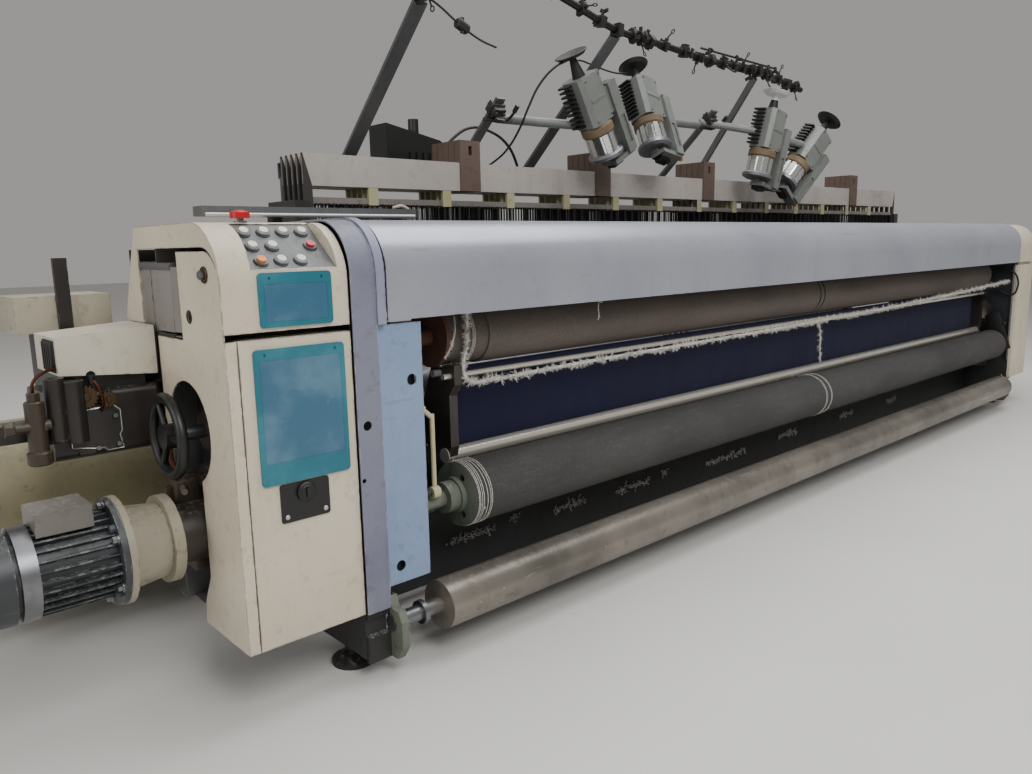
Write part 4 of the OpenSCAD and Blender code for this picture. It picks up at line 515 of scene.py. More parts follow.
# Grey enamel on sheet steel out of reach: flat, with settled dirt
GREY = Paint("grey_paint", "6a6a6b", shade="59595a", soil=0.5, wear_and_highlight=0.4)
CABINET = Paint("grey_cabinet_paint", "827d79", shade="757069", soil=0.4, wear_and_highlight=0.3, edge=0.5)
# Cast iron under oil: nearly black and half wet, with bright rubbed edges
IRON_DARK = Paint(
    "oily_iron", "201d1b", shade="38322d",
    soil=0.8, wear_and_highlight=0.35, chip_and_highlight="75695d", rough=0.34, edge=0.5,
)
# Enamel on die-cast aluminium: dark fins whose pale edges and spots are painted highlights on rubbed paint,
# and a lighter lid
MOTOR_GREY = Paint(
    "motor_paint", "2b2e30", shade="3a3d40",
    soil=0.7, wear_and_highlight=0.35, chip_and_highlight="8c8e90", rough=0.4, edge=0.6,
)
MOTOR_LID = Paint("terminal_box_paint", "77736c", shade="5f5b55", soil=0.5, wear_and_highlight=0.3, rough=0.42, edge=0.5)
# Off-white enamel on a steel cover: a soft gloss under a film of oil
LINEN_WHITE = Paint("off_white_paint", "c6bfae", shade="b7b09e", soil=0.42, wear_and_highlight=0.25, rough=0.42, edge=0.5)
# Beige enamel on a spun steel housing: dull, with runs of oil
BEIGE = Paint("beige_paint", "8f8768", shade="7b7459", soil=0.65, wear_and_highlight=0.35, rough=0.5)
# Pale green enamel on cast iron: knocked off along the edges
GREEN_PALE = Paint(
    "pale_green_paint", "72796a", shade="5b6257",
    soil=0.7, wear_and_highlight=0.5, chip_and_highlight="4a443c", edge=0.6,
)
# Zinc paint on steel profiles: grey, with a weak sheen
STEEL_GREY = Paint("grey_steel_paint", "606162", shade="525354", soil=0.5, wear_and_highlight=0.4, metal=0.25, edge=0.5)
# Etched aluminium plate: flat grey, with a faint sheen
PLATE = Paint("dull_plate", "6a6c6e", shade="5c5e60", soil=0.35, wear_and_highlight=0.3, rough=0.5, metal=0.3)
# Anodised aluminium slats between steel bars and cast ends: matt, warm grey to black
SLAT = Paint(
    "heald_slat_alloy", "b3aca6", shade="a49d97",
    soil=0.4, wear_and_highlight=0.35, rough=0.5, metal=0.15, low=-1.0,
)
SLAT_BAR = Paint("heald_bar_steel", "857f7a", shade="6b6662", soil=0.6, wear_and_highlight=0.3, metal=0.3, low=-1.0)
SLAT_END = Paint("heald_frame_end", "2b2929", shade="3a3736", soil=0.5, wear_and_highlight=0.3, rough=0.5, low=-1.0)
# Oiled beech: dull brown, darker at its edges
BLOCK = Paint(
    "guide_block_wood", "635248", shade="53443b",
    soil=0.5, wear_and_highlight=0.25, rough=0.7, low=-1.0, edge=0.4,
)
# Brass plated spring steel: a dull yellow green
CLIP = Paint("clip_brass_paint", "aaa682", shade="94906e", soil=0.4, wear_and_highlight=0.3, low=-1.0)
# Painted die-cast aluminium: fine matt grey with bare edges
SHELL = Paint(
    "feeder_casting", "7e817d", shade="6f726e",
    soil=0.35, wear_and_highlight=0.3, rough=0.42, metal=0.2, low=-1.0, edge=0.6,
)
# Brown phenolic resin: dull, and worn smooth
TAN = Paint("feeder_ring", "75624a", shade="5f4d38", soil=0.5, wear_and_highlight=0.3, rough=0.65, low=-1.0)
# Enamel on a forged lever: creamy, with rubbed edges
LEVER_CREAM = Paint("lever_paint", "c4bc98", shade="aea783", soil=0.4, wear_and_highlight=0.3, edge=0.4)
# Bare steel tube that cloth has polished: streaks of grey and tan, with a low shine; its pale spots are
# painted glints
TUBE_GREY = Paint(
    "cloth_tube_steel", "867f76", shade="5b5750",
    soil=0.5, wear_and_highlight=0.5, chip_and_highlight="c2c0b8", rough=0.33, metal=0.5, low=-1.0,
)
# Cast iron with rust under oil: brown black and half wet
RUSTY = Paint(
    "oily_rusty_iron", "33291f", shade="463a2e",
    soil=0.7, wear_and_highlight=0.4, chip_and_highlight="7b6d60", rough=0.4, edge=0.5,
)
# Sheared steel edge: a thin bright line
WORN_EDGE = Metal("bare_plate_edge", "c9cac6", rough=0.3, tarnish=0.3)
# Hard chrome on a ground bar: long mirror streaks, hazed by lint
CHROME = Metal("ground_steel_bar", "e8e3d6", dull="a29b8c", rough=0.2, tarnish=0.12, share=0.72)
# Drawn steel: soft grey streaks along the bar
BAR_GREY = Metal("grey_steel_bar", "b9b9b9", dull="84827e", rough=0.3, tarnish=0.3, share=0.7)
# Polished aluminium: bright, with sharp reflections
DRUM = Metal("polished_drum", "d6d6d4", rough=0.14, tarnish=0.15)
# Sand-cast aluminium: matt and blotched
ALLOY = Metal("cast_alloy", "8f9093", rough=0.42, tarnish=0.45)
# Turned steel: grey, with oil in its marks
STEEL = Metal("worn_steel", "7f8083", rough=0.32, tarnish=0.5)
# Blued steel wire and blackened pipe: nearly black, with a dull shine
WIRE = Metal("heald_wire", "2a292b", dull="1b1a1b", rough=0.5, grain=(1.0, 1.0, 0.05), tarnish=0.4)
PIPE = Metal("dull_pipe", "393736", rough=0.4, tarnish=0.6)
# Brass and drawn copper in oil: brown, with little shine
BRASS_OILY = Metal("oily_brass", "5a4a38", dull="241a14", rough=0.42, tarnish=0.7)
COPPER_PIPE = Metal("copper_pipe", "5c3527", dull="2f211b", rough=0.4, tarnish=0.6)
# Granulated rubber, copper coloured at the end: brown and without gloss
ROLLER_BROWN = Cover("take_up_cover", "6a6059", fleck="443d39", lint=0.03)
COPPER = Cover("copper_end", "6e4838", fleck="45302a", lint=0.05)
# Emery cloth: dark grit that swallows the light
SAND = Cover("sand_cover", "4b4a48", fleck="232323", lint=0.05)
# Moulded vinyl frame: teal, with pale scuffs
TEAL = Plastic("teal_frame", "1b6676", scuff="4a93a0", rough=0.38, dust=0.2, haze=0.35)
# Clear polyester film: blue from behind, hazed by hands
FILM = Plastic("clear_film", "3f6d89", scuff="7fa6b8", rough=0.2, dust=0.1, alpha=0.75, haze=0.4)
# Moulded phenolic resin and rubber: satin to soft black that shows dust
BLACK = Plastic("black_plastic", "141414", scuff="343331", rough=0.42, dust=0.06)
RUBBER = Plastic("black_rubber", "121212", scuff="2f2e2d", rough=0.55)
# Moulded caps, knobs and discs of polycarbonate: clean colour with a soft shine
RED = Plastic("red_plastic", "b3151b", scuff="cc4440", rough=0.3, dust=0.1)
ORANGE = Plastic("orange_plastic", "d97a2a", scuff="e39a5a", rough=0.35, dust=0.1)
AMBER = Plastic("amber_knob", "c07f2b", scuff="9a6a2c", rough=0.4, dust=0.2)
WHITE = Plastic("white_plastic", "cfd0cb", scuff="b8b6ae", rough=0.35, dust=0.1)
# Cotton twill: deep blue, with ribs of thread and soft folds
NAVY = Woven("navy_cloth", "090c32", thread="05061a")
# Twisted cotton waste: chalk white, with soft shadows between its fibres
ROPE = Yarn("white_yarn", "e6e2d8")


# Painting the CAD nodes


def paint(node: str, base: Finish, *zones: tuple[Finish, Test]) -> None:
    """Gives a CAD node its finishes.

    Args:
        node: Name of the node.
        base: Finish of the faces that no zone claims.
        *zones: Further finishes, each with the test of its faces; the first that fits counts.
    """
    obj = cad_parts[node]
    obj.data.materials.clear()
    for finish in (base, *(zone[0] for zone in zones)):
        obj.data.materials.append(finish.material())
    for face in obj.data.polygons:
        centre, normal = face.center / MM, face.normal
        fitting = (index for index, (_, test) in enumerate(zones, 1) if test(centre, normal))
        face.material_index = next(fitting, 0)
    log.info("painted %s with %d finishes", node, 1 + len(zones))


def between(value: float, low: float, high: float) -> bool:
    """Whether a value lies between two others."""
    return low <= value <= high


@dataclass(frozen=True)
class FeederPlace:
    """Place of one weft feeder, whose drum points towards its own -Z.

    Attributes:
        disc: Middle of its inlet disc.
        turn_x: Turn about X in degrees.
        turn_y: Turn about Y in degrees.
    """

    disc: Point
    turn_x: float
    turn_y: float

    @property
    def turn(self) -> Matrix:
        """The feeder's turn as a matrix."""
        return Euler((math.radians(self.turn_x), math.radians(self.turn_y), 0.0)).to_matrix()

    def local(self, point: Vector) -> Vector:
        """A point in millimetres as the feeder sees it."""
        return self.turn.inverted() @ (point - Vector(self.disc))


FEEDERS = (
    FeederPlace((-1016, -262, 1886), 0.0, -29.6),
    FeederPlace((-397, -76, 1947), -24.7, 9.4),
    FeederPlace((477, -314, 1887), 6.7, 11.3),
    FeederPlace((929, -376, 1779), 14.8, 38.0),
)
WHITE_DISC_FEEDER = FEEDERS[2]
FEEDER_MIDDLE = -230.0
FEEDER_REACH = 250.0


def on_feeder(low: float, high: float, inner: float, outer: float) -> Test:
    """Test for faces in one round zone of the nearest feeder.

    Args:
        low: Lower end of the zone along the feeder's axis, in mm.
        high: Upper end of it.
        inner: Smallest distance from the axis.
        outer: Largest distance from the axis.

    Returns:
        The test.
    """

    def distance(spot: Vector) -> float:
        """How far a point lies from a feeder's body."""
        return math.hypot(spot.x, spot.y) + max(0, abs(spot.z - FEEDER_MIDDLE) - FEEDER_REACH)

    def test(centre: Vector, normal: Vector) -> bool:
        """Looks at the face from the nearest feeder."""
        spot = min((place.local(centre) for place in FEEDERS), key=distance)
        return between(spot.z, low, high) and between(math.hypot(spot.x, spot.y), inner, outer)

    return test


def in_feeder(inside: Callable[[Vector], bool]) -> Test:
    """Test for faces inside a shape that is given in the feeders' own millimetres.

    Args:
        inside: Whether a feeder's own point lies in the shape.

    Returns:
        The test.
    """
    return lambda centre, normal: any(inside(place.local(centre)) for place in FEEDERS)


def is_fin(p: Vector) -> bool:
    """Whether a feeder's point lies on the cooling fins of its left side."""
    return between(p.x, -88, -64.5) and between(p.y, -8, 60) and between(p.z, -295, -80)


def is_foot(p: Vector) -> bool:
    """Whether a feeder's point lies on the yarn guide foot under its drum."""
    return between(p.x, -16, 70) and abs(p.y) < 21 and between(p.z, -500, -477)


def is_knob(p: Vector) -> bool:
    """Whether a feeder's point lies on the knob beside its foot."""
    return between(p.x, 130.5, 149) and math.hypot(p.y + 30, p.z + 468) < 14


def is_white_disc(centre: Vector, normal: Vector) -> bool:
    """Whether a face lies on the one pale inlet disc."""
    spot = WHITE_DISC_FEEDER.local(centre)
    return between(spot.z, -40, 12) and math.hypot(spot.x, spot.y) < 72


# Where the painted zones of the nodes end, in mm


TAKE_UP_AXIS = (-692, 878)
SAND_AXIS = (-813, 420)
BRACKET_END = -2411.0
BRACKET_FRONT = -893.0
SHROUD = (-3207.0, -3168.0)
LID = (-3163.0, -3043.0)
LID_FOOT = 547.0
RAIL_FOOT = 1225.0
RAIL_BACK = -430.0
HOOD_FOOT = 832.0
HOOD_SIDE = 2899.0
TAKE_UP_CAP = -2082.0
GROOVE = (118, 167)
SAND_ENDS = (-2106.5, 2447.0)
TUBE_FACE = -2270.0
REAR_BAR = (-724.0, 700.0)
SLAT_TOP = 1456.0
SLAT_FOOT = 1348
SLAT_LOW = 986
HEALD_BAR = (1291.5, 1312.5)
STAND_TOP = 1930.0
SELECTOR_PLATE_TOP = 700.0
STOP_BUTTON = (-2674.0, -748.0)
STOP_COLLAR_FOOT = 1203.5
STOP_HEAD_FOOT = 1212.0
COLUMN_SHELF = 940.0
COLUMN_MIDDLE = -2680.0
RING_FACE = -2411.5
HUB_FACE = -2830.0
GROOVE_RADIUS = 93.5
BLOCK_PLACES = (-1446, -667, 162, 1052, 1806)
BLOCK_REACH = 50.5
CLIP_START = 1911
CLIP_PITCH = 330
CLIP_WIDTH = 40.5
CLIP_HEIGHTS = ((1288, 1348), (985, 1033))
CLIPS_END = 2300
STOP_REACH = 30
CREAM_BOX_FRONT = -212
CREAM_BOX_SIDE = -2820
CREAM_BOX_HEIGHTS = (934, 1032)


class LoomFinishes:
    """Finishes of all the CAD nodes, part by part."""

    def build(self) -> None:
        """Paints every node."""
        self.frames()
        self.column()
        self.drives()
        self.rollers()
        self.harness()
        self.feeders()

    def frames(self) -> None:
        """Paints the castings, beams and long covers."""
        for node in ("frame_left", "frame_right"):
            paint(node, CAST_DARK)
        for node in ("cross_beams", "roller_bearings"):
            paint(node, BEAM_DARK)
        paint("machine_feet", IRON_BLACK)
        paint("end_panel", PANEL_BLUE)
        paint("breast_cover", COVER_SILVER)
        paint("end_cover", COVER_GREY, (RING_LILAC, lambda c, n: c.x > RING_FACE and c.z > COLUMN_SHELF))
        paint(
            "beam_brackets",
            GREEN_PALE,
            (BEAM_DARK, lambda c, n: c.x < BRACKET_END or c.y > BRACKET_FRONT),
        )
        paint("bar_brackets", IRON_DARK)

    def column(self) -> None:
        """Paints the control column with its buttons and pockets."""
        for node in ("column_side", "column_door", "column_head", "receiving_column"):
            paint(node, CREAM)
        paint("column_core", GREY, (CABINET, lambda c, n: c.z > COLUMN_SHELF and c.x < COLUMN_MIDDLE))
        paint(
            "control_plates",
            PLATE,
            (BLACK, lambda c, n: c.z < SELECTOR_PLATE_TOP),
            (STEEL, lambda c, n: c.z > STOP_COLLAR_FOOT and self.near_stop(c)),
        )
        paint("card_pockets", TEAL)
        paint("pocket_windows", FILM)
        paint("stop_button", RED, (STEEL, lambda c, n: c.z < STOP_HEAD_FOOT))
        paint("selector_knob", BLACK)
        shades = {7: RED, 8: ORANGE}
        for number in range(1, 11):
            paint(f"button_{number}", shades.get(number, WHITE))

    def drives(self) -> None:
        """Paints the motor, hand wheel and the picking, shedding and receiving units."""
        paint("drive_housing", IRON_DARK)
        paint(
            "motor",
            MOTOR_GREY,
            (STEEL, lambda c, n: SHROUD[0] < c.x < SHROUD[1]),
            (MOTOR_LID, lambda c, n: c.z > LID_FOOT and LID[0] < c.x < LID[1] and n.z > -0.5),
        )
        paint("motor_adaptor", CREAM_DIRTY)
        paint(
            "picking_unit",
            IRON_DARK,
            (STEEL_GREY, lambda c, n: c.z > RAIL_FOOT and c.y < RAIL_BACK),
            (CREAM_DIRTY, self.on_cream_box),
        )
        paint("picking_cover", LINEN_WHITE)
        paint("shedding_housing", BEIGE)
        paint(
            "receiving_unit",
            IRON_DARK,
            (LINEN_WHITE, lambda c, n: c.z > HOOD_FOOT and c.x > HOOD_SIDE),
        )
        paint("hand_wheel", BLACK, (STEEL, lambda c, n: c.x > HUB_FACE))
        paint("lever", LEVER_CREAM)
        paint("power_box", BLACK)

    @staticmethod
    def on_cream_box(c: Vector, n: Vector) -> bool:
        """Whether a face lies on the cream box behind the picking unit."""
        low, high = CREAM_BOX_HEIGHTS
        return c.y > CREAM_BOX_FRONT and low < c.z < high and c.x < CREAM_BOX_SIDE

    def rollers(self) -> None:
        """Paints the rollers and bars."""
        paint(
            "take_up_roller",
            ROLLER_BROWN,
            (COPPER, lambda c, n: c.x < TAKE_UP_CAP),
            (IRON_DARK, lambda c, n: between(c.x, *GROOVE) and self.in_groove(c)),
        )
        paint(
            "sand_roller",
            SAND,
            (GREEN_PALE, lambda c, n: c.x < SAND_ENDS[0]),
            (STEEL, lambda c, n: c.x > SAND_ENDS[1]),
        )
        paint("cloth_tube", TUBE_GREY, (STEEL, lambda c, n: c.x < TUBE_FACE))
        paint("warp_beam", ALLOY)
        paint("back_rest", CHROME)
        paint("tension_bars", CHROME, (BAR_GREY, lambda c, n: c.y > REAR_BAR[0] and c.z > REAR_BAR[1]))

    def harness(self) -> None:
        """Paints the heald frames, sley, reed and warp stop motion."""
        for number in range(1, 6):
            paint(
                f"heald_frame_{number}",
                SLAT,
                (BLOCK, lambda c, n: c.z > SLAT_TOP or self.near_block(c)),
                (CLIP, lambda c, n: self.on_clip(c)),
                (SLAT_BAR, lambda c, n: between(c.z, *HEALD_BAR)),
                (SLAT_END, lambda c, n: between(c.z, SLAT_LOW, SLAT_FOOT) or n.x < -0.9),
            )
        paint("heald_guides", IRON_DARK)
        paint("stop_motion", GREY)
        paint("sley", ALLOY)
        paint("reed", STEEL)

    @staticmethod
    def near_stop(c: Vector) -> bool:
        """Whether a face lies about the stop button."""
        return abs(c.x - STOP_BUTTON[0]) < STOP_REACH and abs(c.y - STOP_BUTTON[1]) < STOP_REACH

    @staticmethod
    def in_groove(c: Vector) -> bool:
        """Whether a face lies in the dark groove of the take-up roller."""
        y, z = TAKE_UP_AXIS
        return (c.y - y) ** 2 + (c.z - z) ** 2 < GROOVE_RADIUS**2

    @staticmethod
    def near_block(c: Vector) -> bool:
        """Whether a face lies on one of the wooden guide blocks."""
        return c.z > SLAT_FOOT and any(abs(c.x - x) <= BLOCK_REACH for x in BLOCK_PLACES)

    @staticmethod
    def on_clip(c: Vector) -> bool:
        """Whether a face lies on one of the clips between a slat and its heald bar."""
        across = (c.x + CLIP_START) % CLIP_PITCH <= CLIP_WIDTH and c.x < CLIPS_END
        return across and any(between(c.z, *heights) for heights in CLIP_HEIGHTS)

    def feeders(self) -> None:
        """Paints the weft feeders and what carries them."""
        paint(
            "weft_feeders",
            SHELL,
            (WHITE, is_white_disc),
            (RUBBER, on_feeder(-89, 12, 0, 72)),
            (BLACK, in_feeder(is_fin)),
            (BLACK, in_feeder(is_foot)),
            (AMBER, in_feeder(is_knob)),
            (TAN, on_feeder(-338, -289.5, 62, 71)),
            (DRUM, on_feeder(-415, -336, 0, 64.5)),
            (ALLOY, on_feeder(-446, -413, 0, 79)),
        )
        paint("feeder_stand", STEEL_GREY, (IRON_BLACK, lambda c, n: c.z > STAND_TOP))
        paint("guide_pipe", PIPE)


# Modelling steps that the pieces share


RING_FLAT = 0.8
SMOOTH_ANGLE = math.radians(35.0)
FULL_TURN = 2 * math.pi


class Bench:
    """Modelling steps in the order of a hand: add, shape in edit mode, copy, join. All in millimetres."""

    @staticmethod
    def added(name: str) -> Object:
        """Names the primitive that was just added and moves its place into its mesh.

        Args:
            name: Name for the piece.

        Returns:
            The piece.
        """
        obj = bpy.context.object
        obj.name = obj.data.name = name
        bpy.ops.object.transform_apply(location=True, rotation=True, scale=True)
        return obj

    @staticmethod
    def select(*objects: Object) -> None:
        """Selects objects alone and makes the first one active.

        Args:
            *objects: The objects.
        """
        bpy.ops.object.select_all(action="DESELECT")
        for obj in objects:
            obj.select_set(True)
        bpy.context.view_layer.objects.active = objects[0]

    @staticmethod
    def pick(obj: Object, test: Callable[[bpy.types.MeshPolygon], bool]) -> None:
        """Enters edit mode with only the faces selected that pass the test.

        Args:
            obj: The mesh.
            test: Whether a face is taken.
        """
        bpy.context.view_layer.objects.active = obj
        bpy.ops.object.mode_set(mode="EDIT")
        bpy.ops.mesh.select_mode(type="FACE")
        bpy.ops.mesh.select_all(action="DESELECT")
        bpy.ops.object.mode_set(mode="OBJECT")
        for face in obj.data.polygons:
            face.select = test(face)
        bpy.ops.object.mode_set(mode="EDIT")

    @staticmethod
    def block(
        name: str, low: Point, high: Point, chamfer: float = 1.0, turn: Point = (0.0, 0.0, 0.0)
    ) -> Object:
        """A block between two corners, with its edges broken.

        Args:
            name: Name of the piece.
            low: Lowest corner before any turn.
            high: Highest corner before any turn.
            chamfer: Width of the broken edges.
            turn: Turn about the block's middle, in radians.

        Returns:
            The piece.
        """
        centre = [(a + b) / 2 * MM for a, b in zip(low, high)]
        size = [(b - a) * MM for a, b in zip(low, high)]
        bpy.ops.mesh.primitive_cube_add(size=1.0, location=centre, rotation=turn, scale=size)
        obj = Bench.added(name)
        Bench.pick(obj, lambda face: True)
        bpy.ops.mesh.bevel(offset=chamfer * MM, segments=2, affect="EDGES")
        bpy.ops.object.mode_set(mode="OBJECT")
        return obj

    @staticmethod
    def rod(
        name: str, start: Point, end: Point, radius: float, sides: int = 20, rim: float = 0.14
    ) -> Object:
        """A bar with flat or round sides between two points, with chamfered ends.

        Args:
            name: Name of the piece.
            start: One end.
            end: The other end.
            radius: Radius of the bar.
            sides: Number of its sides.
            rim: Chamfer as a share of the radius.

        Returns:
            The piece.
        """
        a, b = Vector(start) * MM, Vector(end) * MM
        turn = (b - a).to_track_quat("Z", "Y").to_euler()
        bpy.ops.mesh.primitive_cylinder_add(
            vertices=sides, radius=radius * MM, depth=(b - a).length, location=(a + b) / 2, rotation=turn
        )
        obj = Bench.added(name)
        Bench.pick(obj, lambda face: len(face.vertices) > 4)
        bpy.ops.mesh.inset(thickness=rim * radius * MM, depth=rim * radius * MM)
        bpy.ops.object.mode_set(mode="OBJECT")
        return obj

    @staticmethod
    def ring(
        name: str, centre: Point, axis: Axis, radius: float, thick: float, steps: int
    ) -> Object:
        """A ring about one axis, pressed a little flat along it.

        Args:
            name: Name of the piece.
            centre: Its middle.
            axis: Its axis.
            radius: Radius of the ring.
            thick: Radius of its section.
            steps: Number of its segments.

        Returns:
            The piece.
        """
        bpy.ops.mesh.primitive_torus_add(
            location=Vector(centre) * MM,
            rotation=axis.value,
            major_radius=radius * MM,
            minor_radius=thick * MM,
            major_segments=steps,
            minor_segments=8,
        )
        bpy.context.object.data.transform(Matrix.Scale(RING_FLAT, 4, Vector((0.0, 0.0, 1.0))))
        return Bench.added(name)

    @staticmethod
    def curve(name: str, points: Sequence[Point], radius: float, sharp: bool = False) -> Object:
        """A round strand along points, kept as a curve.

        Args:
            name: Name of the piece.
            points: Points that the strand passes through.
            radius: Radius of the strand.
            sharp: Whether it turns at the points without a bend.

        Returns:
            The piece.
        """
        bpy.ops.curve.primitive_bezier_curve_add(location=(0.0, 0.0, 0.0))
        obj = bpy.context.object
        obj.name = obj.data.name = name
        spline = obj.data.splines[0]
        spline.bezier_points.add(len(points) - 2)
        for knot, point in zip(spline.bezier_points, points):
            knot.handle_left_type = knot.handle_right_type = "VECTOR" if sharp else "AUTO"
            knot.co = Vector(point) * MM
        obj.data.bevel_depth = radius * MM
        obj.data.bevel_resolution = 2
        obj.data.resolution_u = 6
        obj.data.use_fill_caps = True
        return obj

    @staticmethod
    def strand(name: str, points: Sequence[Point], radius: float, sharp: bool = False) -> Object:
        """A round strand along points, made a mesh.

        Args:
            name: Name of the piece.
            points: Points that it passes through.
            radius: Its radius.
            sharp: Whether it turns without a bend.

        Returns:
            The piece.
        """
        obj = Bench.curve(name, points, radius, sharp)
        bpy.ops.object.convert(target="MESH")
        return Bench.added(name)

    @staticmethod
    def copy(obj: Object, name: str, place: Matrix) -> Object:
        """A copy with its own mesh, moved by a matrix.

        Args:
            obj: The model.
            name: Name of the copy.
            place: The move.

        Returns:
            The copy.
        """
        twin = obj.copy()
        twin.data = obj.data.copy()
        twin.name = twin.data.name = name
        twin.data.transform(place)
        bpy.context.collection.objects.link(twin)
        return twin

    @staticmethod
    def remove(obj: Object) -> None:
        """Deletes a model that was only there to be copied."""
        bpy.data.objects.remove(obj)

    @staticmethod
    def join(name: str, parts: Sequence[Object]) -> Object:
        """Joins meshes into one piece.

        Args:
            name: Name of the piece.
            parts: The meshes.

        Returns:
            The piece.
        """
        Bench.select(*parts)
        if len(parts) > 1:
            bpy.ops.object.join()
        obj = bpy.context.object
        obj.name = obj.data.name = name
        return obj

    @staticmethod
    def repeat(obj: Object, count: int, step: Point) -> None:
        """Repeats a piece in a row with an applied array.

        Args:
            obj: The model.
            count: How many there are in the end.
            step: Distance from one to the next.
        """
        Bench.select(obj)
        bpy.ops.object.modifier_add(type="ARRAY")
        array = obj.modifiers[-1]
        array.count = count
        array.use_relative_offset = False
        array.use_constant_offset = True
        array.constant_offset_displace = Vector(step) * MM
        bpy.ops.object.modifier_apply(modifier=array.name)

    @staticmethod
    def done(obj: Object, finish: Finish, body: str = "base") -> Object:
        """Gives a piece its finish and smooth shading, and lets it ride on a body.

        Args:
            obj: The piece.
            finish: Its finish.
            body: Name of the body that carries it.

        Returns:
            The piece.
        """
        obj.data.materials.clear()
        obj.data.materials.append(finish.material())
        if obj.type == "MESH":
            Bench.select(obj)
            bpy.ops.object.shade_smooth_by_angle(angle=SMOOTH_ANGLE)
        log.info("%s in %s on %s", obj.name, finish.name, body)
        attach(obj, body)
        return obj

    @staticmethod
    def group(
        name: str, finish: Finish, parts: Sequence[Object], body: str = "base"
    ) -> Object:
        """Joins parts into one finished piece.

        Args:
            name: Name of the piece.
            finish: Its finish.
            parts: The parts.
            body: Name of the body that carries it.

        Returns:
            The piece.
        """
        return Bench.done(Bench.join(name, parts), finish, body)


class Piece(ABC):
    """A group of small parts that is modelled in one go."""

    @abstractmethod
    def build(self) -> None:
        """Models the parts and lets them ride on their bodies."""


# Yarn, cloth and cords


FIBRE_LENGTH = 10.0
FIBRES_PER_TUFT = 6


@dataclass(frozen=True)
class Fuzz:
    """Loose fibres that stand out along a line of yarn.

    Attributes:
        name: Name of the piece.
        line: Points along the yarn.
        count: Number of tufts.
        length: Shortest and longest fibre.
        spread: Distance from the line at which the tufts start.
        droop: How much the fibres hang down, from 0 to 1.
        seed: Start of the random numbers.
        body: Body that carries them.
    """

    name: str
    line: Sequence[Point]
    count: int
    length: tuple[float, float]
    spread: float
    droop: float
    seed: int
    body: str = "base"

    def fibre(self) -> Object:
        """One bent fibre, about 10 mm long, with a pointed tip.

        Returns:
            The fibre.
        """
        root, middle, half = 0.7 * MM, 0.55 * MM, 5 * MM
        bpy.ops.mesh.primitive_cone_add(
            vertices=3, radius1=root, radius2=middle, depth=half, location=(0.0, 0.0, half / 2)
        )
        obj = Bench.added("fibre")
        Bench.pick(obj, lambda face: face.normal.z > 0.9)
        bpy.ops.mesh.extrude_region_move(TRANSFORM_OT_translate={"value": (2.0 * MM, 0.0, 4.0 * MM)})
        bpy.ops.mesh.merge(type="CENTER")
        bpy.ops.object.mode_set(mode="OBJECT")
        return obj

    def tuft(self, rng: random.Random) -> Object:
        """Fibres that lean apart from one root.

        Args:
            rng: Source of the random leans.

        Returns:
            The tuft.
        """
        fibre = self.fibre()
        leaning = []
        for number in range(FIBRES_PER_TUFT):
            turn = Euler((rng.uniform(-0.7, 0.7), rng.uniform(-0.7, 0.7), rng.uniform(0.0, 6.28)))
            size = rng.uniform(0.6, 1.1)
            place = turn.to_matrix().to_4x4() @ Matrix.Scale(size, 4)
            leaning.append(Bench.copy(fibre, f"fibre_{number}", place))
        Bench.remove(fibre)
        return Bench.join("tuft", leaning)

    def build(self) -> Object:
        """Sets tufts along the line and joins them.

        Returns:
            The piece.
        """
        rng = random.Random(self.seed)
        tuft = self.tuft(rng)
        stops = [0.0]
        for a, b in zip(self.line, self.line[1:]):
            stops.append(stops[-1] + (Vector(b) - Vector(a)).length)
        tufts = []
        for number in range(self.count):
            far = (number + rng.random()) / self.count * stops[-1]
            index = max(i for i, stop in enumerate(stops[:-1]) if stop <= far)
            a, b = Vector(self.line[index]), Vector(self.line[index + 1])
            spot = a.lerp(b, (far - stops[index]) / max(stops[index + 1] - stops[index], 1e-6))
            out = Vector((rng.gauss(0, 1), rng.gauss(0, 1), rng.gauss(0, 1)))
            along = (b - a).normalized()
            out -= out.dot(along) * along * 0.7
            out = (out.normalized() * (1 - self.droop) + Vector((0, 0, -1)) * self.droop).normalized()
            size = rng.uniform(*self.length) / FIBRE_LENGTH
            turn = out.to_track_quat("Z", "Y").to_matrix().to_4x4()
            place = Matrix.Translation((spot + out * self.spread) * MM) @ turn @ Matrix.Scale(size, 4)
            tufts.append(Bench.copy(tuft, f"{self.name}_{number}", place))
        Bench.remove(tuft)
        return Bench.group(self.name, ROPE, tufts, self.body)


ROPE_ROUTE: tuple[Point, ...] = (
    (-2034, -799, 975), (-2035, -799, 920), (-2036, -795, 860), (-2037.7, -780, 785),
    (-2034, -786, 755), (-2010, -788, 740), (-1960, -789, 738), (-1700, -790, 742),
    (-1417, -791, 746), (-1000, -795, 749), (-600, -799, 752), (-200, -803, 756),
    (139, -807, 761), (560, -813, 768), (1000, -820, 778), (1400, -828, 791),
    (1800, -837, 803), (2140, -845, 817), (2400, -853, 828), (2572.7, -858, 836),
)


def declare_cord(
    points: Sequence[Point],
    radius: float,
    far_end: str = "object",
) -> None:
    """Turns the strand's first point into metres and keeps nothing.

    Args:
        points: Its points, in mm.
        radius: Its radius in mm; not used.
        far_end: What its other end is; not used.
    """
    tuple(c * MM for c in points[0])


